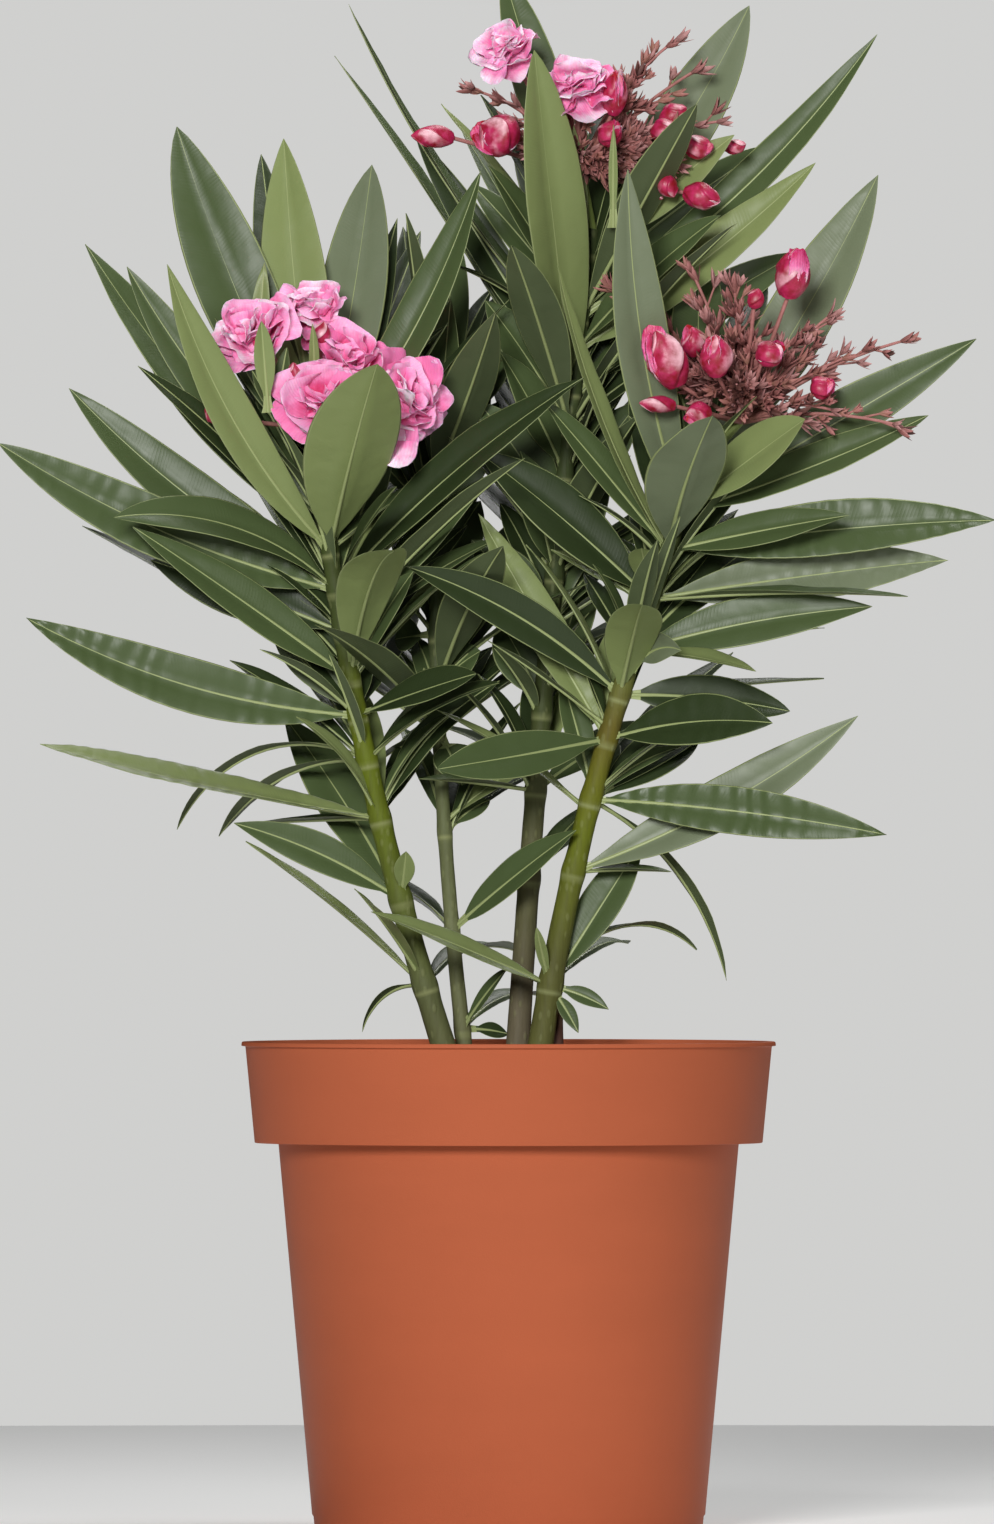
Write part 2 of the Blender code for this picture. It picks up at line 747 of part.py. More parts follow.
def spindle(start, axis, length, radius, sides):
    """A bud: thin at its base, fullest a third of the way up, drawn out to a point."""
    shares = ((0, 0.35), (0.4, 1), (0.75, 0.75), (1, 0))
    return pointed_tube(
        [round_ring(start + axis * length * u, axis, radius * v, sides) for u, v in shares]
    )


def twig(start, end, radius, sides=3):
    axis = (end - start).normalized()
    return tube([round_ring(start, axis, radius, sides), round_ring(end, axis, radius * 0.6, sides)])


def front_slant(degrees, toward=0.35):
    """A direction at this slant as seen from the front, leaning out to the front."""
    angle = math.radians(degrees)
    return Vector((math.cos(angle), -toward, math.sin(angle))).normalized()


def bloom_solids(hub, bloom):
    """A double flower: whorls of petals round a small heart, on a twig from the truss's hub."""
    centre = Vector(bloom[:3])
    axis = ((centre - hub).normalized() + FRONT).normalized()
    heart = centre - axis * bloom.radius * 0.15
    solids = [
        twig(hub, heart, TRUSS_TWIG_RADIUS),
        spindle(heart - axis * 2, axis, bloom.radius * 0.8, bloom.radius * 0.3, 5),
    ]
    turn = UP.rotation_difference(axis)
    for count, size, tilt, offset in PETAL_WHORLS:
        for k in range(count):
            around = math.radians(offset + 360 * k / count)
            rise = math.radians(tilt)
            out = Vector(
                (math.cos(rise) * math.cos(around), math.cos(rise) * math.sin(around), math.sin(rise))
            )
            way = turn @ out * bloom.radius * size
            petal = Leaf(*(heart + way), bloom.radius * 0.95, -20, 0.8)
            base = heart + way * 0.15
            rings = blade_rings(base, petal, PETAL_THICKNESS, outline=PETAL_OUTLINE, facing=axis)
            solids.append(pointed_tube(rings))
    return solids


def spray_solids(rng, hub, tip):
    """A twig of the truss with side twigs, each ending in a calyx."""
    solids = [twig(hub, tip, TRUSS_TWIG_RADIUS)]
    along = (tip - hub).normalized()
    for k in range(SPRAY_TWIGS):
        share = 0.4 + 0.6 * k / (SPRAY_TWIGS - 1)
        start = hub.lerp(tip, share * 0.96)
        side = along.cross(FRONT).normalized() * (-1) ** k
        way = along + side * rng.uniform(0.5, 0.9) + FRONT * rng.uniform(-0.4, 0.5)
        length = rng.uniform(*SPRAY_TWIG_LENGTH) * (1.15 - 0.4 * share)
        solids.append(spindle(start - along, way.normalized(), length, 1.5, 3))
    return solids


def truss_solids(rng, truss, foot):
    """The truss's stalk, followed by everything that is fused to it."""
    hub = Vector(truss.hub)
    ends = ((foot, STALK_RADIUS), (hub + UP, STALK_RADIUS * 0.8))
    solids = [tube([round_ring(point, UP, radius, 6) for point, radius in ends])]
    for bloom in truss.blooms:
        solids += bloom_solids(hub, bloom)
    for bud in truss.buds:
        start, axis = Vector(bud[:3]), front_slant(bud.slant)
        solids.append(twig(hub, start + axis, TRUSS_TWIG_RADIUS * 0.9))
        solids.append(spindle(start, axis, bud.length, bud.radius, 5))
    for spray in truss.sprays:
        solids += spray_solids(rng, hub, Vector(spray))
    return solids


def main():
    clear_scene()
    make_pot()
    make_compost()
    plant = bpy.data.objects.new("plant", None)
    plant.location = UP * COMPOST_TOP * MM
    bpy.context.scene.collection.objects.link(plant)
    foliage = material("leaf_green", (0.09, 0.15, 0.06), 0.45)
    blossom = material("blossom_pink", (0.72, 0.2, 0.36), 0.6)

    space, rng = Space(), random.Random(SEED)
    stems = {name: make_stem(space, name, stem, plant) for name, stem in STEMS.items()}
    make_stem(space, "stub", STUB, plant)
    cores, trusses = {}, {}
    for name, stem in STEMS.items():
        cores[name] = stem_tube(stem, stem.crown_from + GAP, stem.top[2])
        space.add(f"crown_{name}", cores[name])
    for name, truss in TRUSSES.items():
        trusses[name] = truss_solids(rng, truss, Vector(STEMS[name].top) + UP * GAP)
        for solid in trusses[name]:
            space.add(f"truss_{name}", solid)
    plan = plan_leaves(space)

    for name, stem in STEMS.items():
        make_whorls(name, stem, plan, foliage, stems[name])
        foot = stem_point(stem, stem.crown_from + GAP)
        leaves = [leaf_solid(*item) for item in plan[f"crown_{name}"]]
        crown = make_mass(f"crown_{name}", cores[name], leaves, foot, foliage, stems[name])
        keep_outer_shell(crown.data)
        if name in trusses:
            stalk, *rest = trusses[name]
            tip = Vector(stem.top)
            truss = make_mass(f"truss_{name}", stalk, rest, tip, blossom, crown)
            keep_outer_shell(truss.data)


main()
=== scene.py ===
# A potted oleander: the finished plant and its pot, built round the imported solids.
# Lengths are millimetres unless a name says otherwise, with +Z up and the front towards -Y.

import math
import random
from collections import namedtuple

import bmesh
import bpy
from mathutils import Matrix, Vector, noise
from mathutils.bvhtree import BVHTree


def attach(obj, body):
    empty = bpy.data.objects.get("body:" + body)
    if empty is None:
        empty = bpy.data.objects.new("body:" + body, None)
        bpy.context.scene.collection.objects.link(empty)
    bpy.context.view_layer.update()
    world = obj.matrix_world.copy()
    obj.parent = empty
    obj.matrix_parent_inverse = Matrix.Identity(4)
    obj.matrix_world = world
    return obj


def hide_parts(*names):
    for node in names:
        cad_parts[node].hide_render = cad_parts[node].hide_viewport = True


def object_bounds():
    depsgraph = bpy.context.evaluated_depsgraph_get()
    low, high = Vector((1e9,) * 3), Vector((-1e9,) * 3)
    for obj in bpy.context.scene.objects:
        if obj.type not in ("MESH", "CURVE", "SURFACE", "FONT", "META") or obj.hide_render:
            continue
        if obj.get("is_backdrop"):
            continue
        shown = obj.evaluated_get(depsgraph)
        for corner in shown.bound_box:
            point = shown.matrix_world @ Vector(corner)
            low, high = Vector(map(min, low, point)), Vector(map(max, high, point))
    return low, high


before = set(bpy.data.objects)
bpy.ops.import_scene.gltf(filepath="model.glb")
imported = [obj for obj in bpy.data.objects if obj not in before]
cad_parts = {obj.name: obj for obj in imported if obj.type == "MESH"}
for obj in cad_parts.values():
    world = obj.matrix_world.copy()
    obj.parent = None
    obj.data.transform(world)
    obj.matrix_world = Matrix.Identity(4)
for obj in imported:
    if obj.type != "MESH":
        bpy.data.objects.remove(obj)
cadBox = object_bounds()
print("frame loaded:", len(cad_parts), "nodes")

mm = 0.001
up = Vector((0, 0, 1))
front = Vector((0, -1, 0))


def addNode(tree, kind, inputs=None, **settings):
    # inputs maps a socket's name or number to a value, or to the socket that feeds it
    node = tree.nodes.new(kind)
    for key, value in settings.items():
        setattr(node, key, value)
    for key, value in (inputs or {}).items():
        if isinstance(value, bpy.types.NodeSocket):
            tree.links.new(value, node.inputs[key])
        else:
            node.inputs[key].default_value = value
    return node


def output(tree, kind, inputs=None, **settings):
    return addNode(tree, kind, inputs, **settings).outputs[0]


def calc(tree, operation, *values):
    return output(tree, "ShaderNodeMath", dict(enumerate(values)), operation=operation)


def times(tree, first, *others):
    for other in others:
        first = calc(tree, "MULTIPLY", first, other)
    return first


def plus(tree, first, *others):
    for other in others:
        first = calc(tree, "ADD", first, other)
    return first


def minus(tree, first, other):
    return calc(tree, "SUBTRACT", first, other)


def scaled(tree, vector, factor):
    return output(tree, "ShaderNodeVectorMath", {0: vector, "Scale": factor}, operation="SCALE")


def speckle(tree, place, scale, detail=3.0, roughness=0.55):
    inputs = {"Vector": place, "Scale": scale, "Detail": detail, "Roughness": roughness}
    return addNode(tree, "ShaderNodeTexNoise", inputs).outputs["Fac"]


def ranged(tree, value, low, high, newLow=0.0, newHigh=1.0):
    return output(tree, "ShaderNodeMapRange", {0: value, 1: low, 2: high, 3: newLow, 4: newHigh})


# Finishes. Colours are linear red, green and blue, and depths are millimetres.


def newFinish(name, **fixed):
    # fixed sets the shader's own sockets, with _ in place of a space
    finish = bpy.data.materials.new(name)
    finish.use_nodes = True
    tree = finish.node_tree
    shader = tree.nodes["Principled BSDF"]
    for label, value in fixed.items():
        shader.inputs[label.replace("_", " ")].default_value = value
    return finish, tree, shader


def objectPlace(tree):
    return addNode(tree, "ShaderNodeTexCoord").outputs["Object"]


def stretched(tree, place, scale):
    return output(tree, "ShaderNodeMapping", {"Vector": place, "Scale": scale})


def attribute(tree, name):
    return addNode(tree, "ShaderNodeAttribute", attribute_name=name).outputs["Fac"]


def blended(tree, factor, low, high):
    # low and high are colours or colour sockets
    ends = [end if isinstance(end, bpy.types.NodeSocket) else (*end, 1) for end in (low, high)]
    inputs = {0: factor, 6: ends[0], 7: ends[1]}
    return addNode(tree, "ShaderNodeMix", inputs, data_type="RGBA").outputs[2]


def coloured(tree, shader, colour):
    tree.links.new(colour, shader.inputs["Base Color"])


def bumped(tree, shader, height, depth):
    bump = output(tree, "ShaderNodeBump", {"Height": height, "Distance": depth * mm, "Strength": 1.0})
    tree.links.new(bump, shader.inputs["Normal"])


def shade(colour, factor):
    return tuple(min(1.0, part * factor) for part in colour)


tints = ("deep", "mid", "bright", "pale")
leafFinishes = {
    # deep is the older leaves' dark green, and painted shade for the leaves at the back and inside the
    # crowns
    "deep": (0.026, 0.041, 0.013),
    "mid": (0.066, 0.096, 0.034),
    # bright is the young leaves' yellow-green, and painted light on the leaves at the front and top
    "bright": (0.205, 0.252, 0.092),
    "pale": (0.150, 0.180, 0.105),
    "under": (0.080, 0.104, 0.046),
    "margin": (0.250, 0.295, 0.120),
    "rib": (0.310, 0.360, 0.150),
    "roughness": {"under": 0.54, "margin": 0.45, "rib": 0.40, **dict.fromkeys(tints, 0.42)},
    "specular": 0.33,
    "mottleScale": 38.0,
    "mottleShare": 0.05,
    "veinSpacing": 1.6,
    "veinSlant": 0.42,
    "veinWander": 7.0,
    "veinDepth": 0.022,
    "creaseScale": 75.0,
    "creaseDepth": 0.7,
    "grainScale": 900.0,
    "grainShare": 0.5,
    "plainGrainDepth": 0.08,
}


def leafFinish(name):
    # One plain colour to a tint. The fine side veins, which slant outwards from the midrib,
    # and the creases between them are in relief, and a faint mottle is in the gloss.
    s = leafFinishes
    fixed = {"Base_Color": (*s[name], 1), "Specular_IOR_Level": s["specular"]}
    finish, tree, shader = newFinish(f"leaf_{name}", **fixed)
    place = objectPlace(tree)
    slant = times(tree, calc(tree, "ABSOLUTE", attribute(tree, "aside")), s["veinSlant"])
    phase = times(tree, minus(tree, attribute(tree, "along"), slant), math.tau / s["veinSpacing"])
    wander = times(tree, speckle(tree, place, s["mottleScale"] * 4), s["veinWander"])
    wave = calc(tree, "SINE", plus(tree, phase, wander))
    patch = ranged(tree, speckle(tree, place, s["mottleScale"] * 2), 0.40, 0.60)
    vein = times(tree, ranged(tree, wave, 0.0, 1.0), patch)
    grain = times(tree, speckle(tree, place, s["grainScale"], 2.0), s["grainShare"])
    fine = times(tree, plus(tree, vein, grain), s["veinDepth"] / s["creaseDepth"])
    crease = speckle(tree, place, s["creaseScale"], 2.0, 0.4)
    bumped(tree, shader, plus(tree, fine, crease), s["creaseDepth"])
    glossy, dull = (s["roughness"][name] + s["mottleShare"] * side for side in (-1, 1))
    mottle = speckle(tree, place, s["mottleScale"])
    tree.links.new(ranged(tree, mottle, 0.3, 0.7, glossy, dull), shader.inputs["Roughness"])
    return finish


def plainLeafFinish(name):
    # the midribs and margins keep one colour each, with only a grain in relief
    s = leafFinishes
    fixed = {"Base_Color": (*s[name], 1), "Roughness": s["roughness"][name]}
    finish, tree, shader = newFinish(f"leaf_{name}", **fixed)
    bumped(tree, shader, speckle(tree, objectPlace(tree), s["grainScale"]), s["plainGrainDepth"])
    return finish


leafMaterials = {name: leafFinish(name) for name in (*tints, "under")}
leafMaterials.update({name: plainLeafFinish(name) for name in ("margin", "rib")})
print("leaf finishes ready")

# Trees that turn strands, which are lines of points with a girth, into blades, rods and crumbs.


def newTree(name, sockets):
    tree = bpy.data.node_groups.new(name, "GeometryNodeTree")
    face = tree.interface
    face.new_socket("Geometry", in_out="INPUT", socket_type="NodeSocketGeometry")
    for label, kind, value in sockets:
        socket = face.new_socket(label, in_out="INPUT", socket_type=f"NodeSocket{kind}")
        if value is not None:
            socket.default_value = value
    face.new_socket("Geometry", in_out="OUTPUT", socket_type="NodeSocketGeometry")
    return tree, addNode(tree, "NodeGroupInput").outputs


def realized(tree, geometry):
    geometry = output(tree, "GeometryNodeSetShadeSmooth", {"Geometry": geometry})
    return output(tree, "GeometryNodeRealizeInstances", {"Geometry": geometry})


def finishTree(tree, geometry):
    addNode(tree, "NodeGroupOutput", {"Geometry": geometry})
    return tree


def named(tree, name, kind="FLOAT"):
    return output(tree, "GeometryNodeInputNamedAttribute", {"Name": name}, data_type=kind)


def stored(tree, geometry, name, value):
    inputs = {"Geometry": geometry, "Name": name, "Value": value}
    return output(tree, "GeometryNodeStoreNamedAttribute", inputs)


def moved(tree, geometry, offset):
    return output(tree, "GeometryNodeSetPosition", {"Geometry": geometry, "Offset": offset})


def placed(tree, geometry, spot):
    return output(tree, "GeometryNodeSetPosition", {"Geometry": geometry, "Position": spot})


def swept(tree, rail, profile, scale):
    inputs = {"Curve": rail, "Profile Curve": profile, "Scale": scale, "Fill Caps": True}
    return output(tree, "GeometryNodeCurveToMesh", inputs)


def finished(tree, geometry, finish, selection=True):
    inputs = {"Geometry": geometry, "Selection": selection, "Material": finish}
    return output(tree, "GeometryNodeSetMaterial", inputs)


def isBetween(tree, value, low, high):
    return times(tree, calc(tree, "GREATER_THAN", value, low), calc(tree, "LESS_THAN", value, high))


def railOf(tree, given):
    return output(tree, "GeometryNodeMeshToCurve", {"Mesh": given["Geometry"]})


def circleOf(tree, points):
    inputs = {"Resolution": points, "Radius": 1.0}
    return output(tree, "GeometryNodeCurvePrimitiveCircle", inputs)


def bladeProfile(tree, points):
    # the profile keeps where each point lay, as lateral from -1 to 1 and skyward from -1 to 1
    circle = circleOf(tree, points)
    x, y, _ = addNode(tree, "ShaderNodeSeparateXYZ", {0: output(tree, "GeometryNodeInputPosition")}).outputs
    return stored(tree, stored(tree, circle, "lateral", x), "skyward", y), x, y


def bladeLift(tree, given, far):
    # how far each point rises off the plain fold: ripples across the blade and a slow wave
    position = output(tree, "GeometryNodeInputPosition")
    turn = calc(tree, "DIVIDE", times(tree, named(tree, "along"), math.tau), given["Ripple Length"])
    turn = plus(tree, turn, times(tree, speckle(tree, position, 45.0, 1.0), 9.0))
    height = times(tree, named(tree, "ripple"), given["Ripple Height"])
    uneven = ranged(tree, speckle(tree, position, 32.0, 1.0), 0.36, 0.62, 0.1, 1.25)
    inner = minus(tree, 3.4, times(tree, far, 3.0))
    ripple = times(tree, calc(tree, "SINE", turn), height, uneven, inner, far)
    wave = minus(tree, speckle(tree, position, given["Wave Scale"], 1.0), 0.5)
    wave = times(tree, wave, times(tree, given["Wave Height"], 2.0))
    weight = ranged(tree, far, 0.0, 1.0, given["Wave Spread"], 1.0)
    return times(tree, plus(tree, ripple, times(tree, wave, weight)), mm)


def withMidrib(tree, given, rail, blade):
    profile, x, y = bladeProfile(tree, 8)
    spot = output(tree, "ShaderNodeCombineXYZ", {0: x, 1: minus(tree, y, given["Rib Drop"])})
    rib = swept(tree, rail, placed(tree, profile, spot), named(tree, "rib"))
    both = addNode(tree, "GeometryNodeJoinGeometry")
    tree.links.new(stored(tree, blade, "isRib", 0.0), both.inputs[0])
    tree.links.new(stored(tree, rib, "isRib", 1.0), both.inputs[0])
    return both.outputs[0]


def makeBladeTree(name, hasRib):
    # a blade folded along its midrib, thin at its margins, whose rib is a rod of its own
    sockets = [
        ("Section Points", "Int", 20),
        ("Fold", "Float", 0.2),
        ("Thickness", "Float", 0.03),
        ("Ripple Height", "Float", 0.0),
        ("Ripple Length", "Float", 9.0),
        ("Wave Height", "Float", 0.0),
        ("Wave Scale", "Float", 30.0),
        ("Wave Spread", "Float", 0.0),
        ("Rib Drop", "Float", 0.2),
        ("Stalk Length", "Float", 7.0),
        *[(finish, "Material", None) for finish in (*tints, "under", "margin", "rib")],
    ]
    tree, given = newTree(name, sockets)
    inputs = {"Curve": railOf(tree, given), "Normal": named(tree, "across", "FLOAT_VECTOR")}
    rail = output(tree, "GeometryNodeSetCurveNormal", inputs, mode="FREE")
    profile, x, y = bladeProfile(tree, given["Section Points"])
    spread = calc(tree, "ABSOLUTE", x)
    rise = times(tree, spread, minus(tree, 1.6, times(tree, spread, 0.6)))
    height = plus(tree, times(tree, rise, given["Fold"]), times(tree, y, given["Thickness"]))
    spot = output(tree, "ShaderNodeCombineXYZ", {0: x, 1: height})
    blade = swept(tree, rail, placed(tree, profile, spot), named(tree, "girth"))

    lateral = named(tree, "lateral")
    aside = times(tree, lateral, times(tree, named(tree, "girth"), 1 / mm))
    blade = stored(tree, blade, "aside", aside)
    far = calc(tree, "ABSOLUTE", lateral)
    facing = named(tree, "facing", "FLOAT_VECTOR")
    blade = moved(tree, blade, scaled(tree, facing, bladeLift(tree, given, far)))
    if hasRib:
        blade = withMidrib(tree, given, rail, blade)
    blade = realized(tree, blade)

    for index, tint in enumerate(tints):
        chosen = isBetween(tree, named(tree, "tint"), index - 0.5, index + 0.5)
        blade = finished(tree, blade, given[tint], chosen)
    # bright and pale leaves keep their tint on the underside as painted light; deep and mid leaves take the
    # under colour there
    dark = calc(tree, "LESS_THAN", named(tree, "tint"), 1.5)
    below = times(tree, calc(tree, "LESS_THAN", named(tree, "skyward"), -0.05), dark)
    blade = finished(tree, blade, given["under"], below)
    blade = finished(tree, blade, given["margin"], calc(tree, "GREATER_THAN", far, 0.955))
    if hasRib:
        stalk = calc(tree, "LESS_THAN", named(tree, "along"), given["Stalk Length"])
        for chosen in (calc(tree, "GREATER_THAN", named(tree, "isRib"), 0.5), stalk):
            blade = finished(tree, blade, given["rib"], chosen)
    return finishTree(tree, blade)


def makeRodTree():
    # a rod, round or of laps that overlap, which may twist along its length and carry a relief
    sockets = [
        ("Sides", "Int", 12),
        ("Laps", "Float", 0.0),
        ("Lap Depth", "Float", 0.0),
        ("Twist", "Float", 0.0),
        ("Relief", "Float", 0.0),
        ("Relief Scale", "Float", 200.0),
        ("finish", "Material", None),
    ]
    tree, given = newTree("rodTree", sockets)
    twist = times(tree, named(tree, "reach"), given["Twist"])
    rail = output(tree, "GeometryNodeSetCurveTilt", {"Curve": railOf(tree, given), "Tilt": twist})
    share = addNode(tree, "GeometryNodeSplineParameter").outputs["Factor"]
    lap = calc(tree, "FRACT", times(tree, share, given["Laps"]))
    circle = stored(tree, circleOf(tree, given["Sides"]), "lap", lap)
    size = plus(tree, 1.0, times(tree, lap, given["Lap Depth"]))
    position = output(tree, "GeometryNodeInputPosition")
    rod = swept(tree, rail, placed(tree, circle, scaled(tree, position, size)), named(tree, "girth"))
    squeezed = output(tree, "ShaderNodeVectorMath", {0: position, 1: (1, 1, 0.3)}, operation="MULTIPLY")
    relief = minus(tree, speckle(tree, squeezed, given["Relief Scale"]), 0.5)
    relief = times(tree, relief, times(tree, given["Relief"], mm))
    rod = moved(tree, rod, scaled(tree, output(tree, "GeometryNodeInputNormal"), relief))
    return finishTree(tree, finished(tree, realized(tree, rod), given["finish"]))


def makeCrumbTree():
    # small rough grains strewn over a surface, each turned and sized by chance
    sockets = [
        ("Density", "Float", 1000.0),
        ("Smallest", "Float", 1.0),
        ("Largest", "Float", 3.0),
        ("Flatness", "Float", 0.6),
        ("Seed", "Int", 1),
        ("finish", "Material", None),
    ]
    tree, given = newTree("crumbTree", sockets)
    inputs = {"Mesh": given["Geometry"], "Density": given["Density"], "Seed": given["Seed"]}
    points = addNode(tree, "GeometryNodeDistributePointsOnFaces", inputs).outputs["Points"]
    grain = output(tree, "GeometryNodeMeshIcoSphere", {"Radius": 0.5, "Subdivisions": 1})
    rough = addNode(tree, "ShaderNodeTexNoise", {"Scale": 1.4}).outputs["Color"]
    inputs = {0: rough, 1: (0.5, 0.5, 0.5)}
    rough = output(tree, "ShaderNodeVectorMath", inputs, operation="SUBTRACT")
    grain = moved(tree, grain, scaled(tree, rough, 0.9))
    inputs = {"Min": (0, 0, 0), "Max": (math.tau,) * 3, "Seed": given["Seed"]}
    turn = output(tree, "FunctionNodeRandomValue", inputs, data_type="FLOAT_VECTOR")
    inputs = {2: given["Smallest"], 3: given["Largest"], "Seed": 5}
    size = addNode(tree, "FunctionNodeRandomValue", inputs, data_type="FLOAT").outputs[1]
    flat = output(tree, "ShaderNodeCombineXYZ", {0: 1.0, 1: 0.8, 2: given["Flatness"]})
    inputs = {"Points": points, "Instance": grain, "Rotation": turn}
    inputs["Scale"] = scaled(tree, flat, times(tree, size, mm))
    strewn = output(tree, "GeometryNodeInstanceOnPoints", inputs)
    return finishTree(tree, finished(tree, realized(tree, strewn), given["finish"]))


bladeTree, petalTree = makeBladeTree("bladeTree", True), makeBladeTree("petalTree", False)
rodTree, crumbTree = makeRodTree(), makeCrumbTree()
print("trees built: blade, petal, rod, crumb")


def evaluatedMesh(source):
    bpy.context.view_layer.update()
    graph = bpy.context.evaluated_depsgraph_get()
    return bpy.data.meshes.new_from_object(source.evaluated_get(graph), depsgraph=graph)


def newObject(name, mesh):
    piece = bpy.data.objects.new(name, mesh)
    bpy.context.scene.collection.objects.link(piece)
    return piece


def grown(name, mesh, tree, values):
    # the tree's result as a plain mesh object, with the modifier gone
    source = newObject(name, mesh)
    modifier = source.modifiers.new("grow", "NODES")
    modifier.node_group = tree
    for item in tree.interface.items_tree:
        if item.name in values:
            modifier[item.identifier] = values[item.name]
    result = evaluatedMesh(source)
    bpy.data.objects.remove(source)
    return newObject(name, result)


# Points and girths are in millimetres. rails holds what else the tree reads at each point:
# across and facing as vectors, and rib, along, reach, tint, ripple and ring as numbers.
Strand = namedtuple("Strand", "points girths rails")


def strandMesh(name, strands):
    mesh = bpy.data.meshes.new(name)
    points, edges = [], []
    for strand in strands:
        first = len(points)
        points += [point * mm for point in strand.points]
        edges += [(k, k + 1) for k in range(first, len(points) - 1)]
    mesh.from_pydata(points, edges, [])
    girths = [girth * mm for strand in strands for girth in strand.girths]
    mesh.attributes.new("girth", "FLOAT", "POINT").data.foreach_set("value", girths)
    for key, first in strands[0].rails.items():
        values = [value for strand in strands for value in strand.rails[key]]
        if isinstance(first[0], Vector):
            flat = [part for value in values for part in value]
            mesh.attributes.new(key, "FLOAT_VECTOR", "POINT").data.foreach_set("vector", flat)
        else:
            mesh.attributes.new(key, "FLOAT", "POINT").data.foreach_set("value", values)
    return mesh


def pieceReady(piece, slot, *nodes):
    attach(piece, "root")
    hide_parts(*nodes)
    print("made", piece.name, len(piece.data.polygons), "faces")


# How the plant grows: stems first, then each leaf in a space that nothing else has taken.
Stem = namedtuple("Stem", "foot top bow footRadius tipRadius crownFrom roundTo")
Leaf = namedtuple("Leaf", "x y z width droop show tint ripple", defaults=("mid", 0))

compostTop = 190.0
stems = {
    "left": Stem((-22, -6), (-82, -14, 464), (-8, 0), 5.4, 3.4, 357, 0),
    "back": Stem((-17, 12), (-32, 34, 474), (-5, 0), 3.4, 2.4, 330, 474),
    "middle": Stem((3, 17), (36, 26, 560), (-3, 0), 5.2, 3.0, 380, 480),
    "right": Stem((11, -5), (84, -10, 462), (-9, 0), 5.6, 3.4, 366, 0),
    "stub": Stem((19, 5), (19, 5, 224), (0, 0), 4.6, 4.4, 224, 0),
}
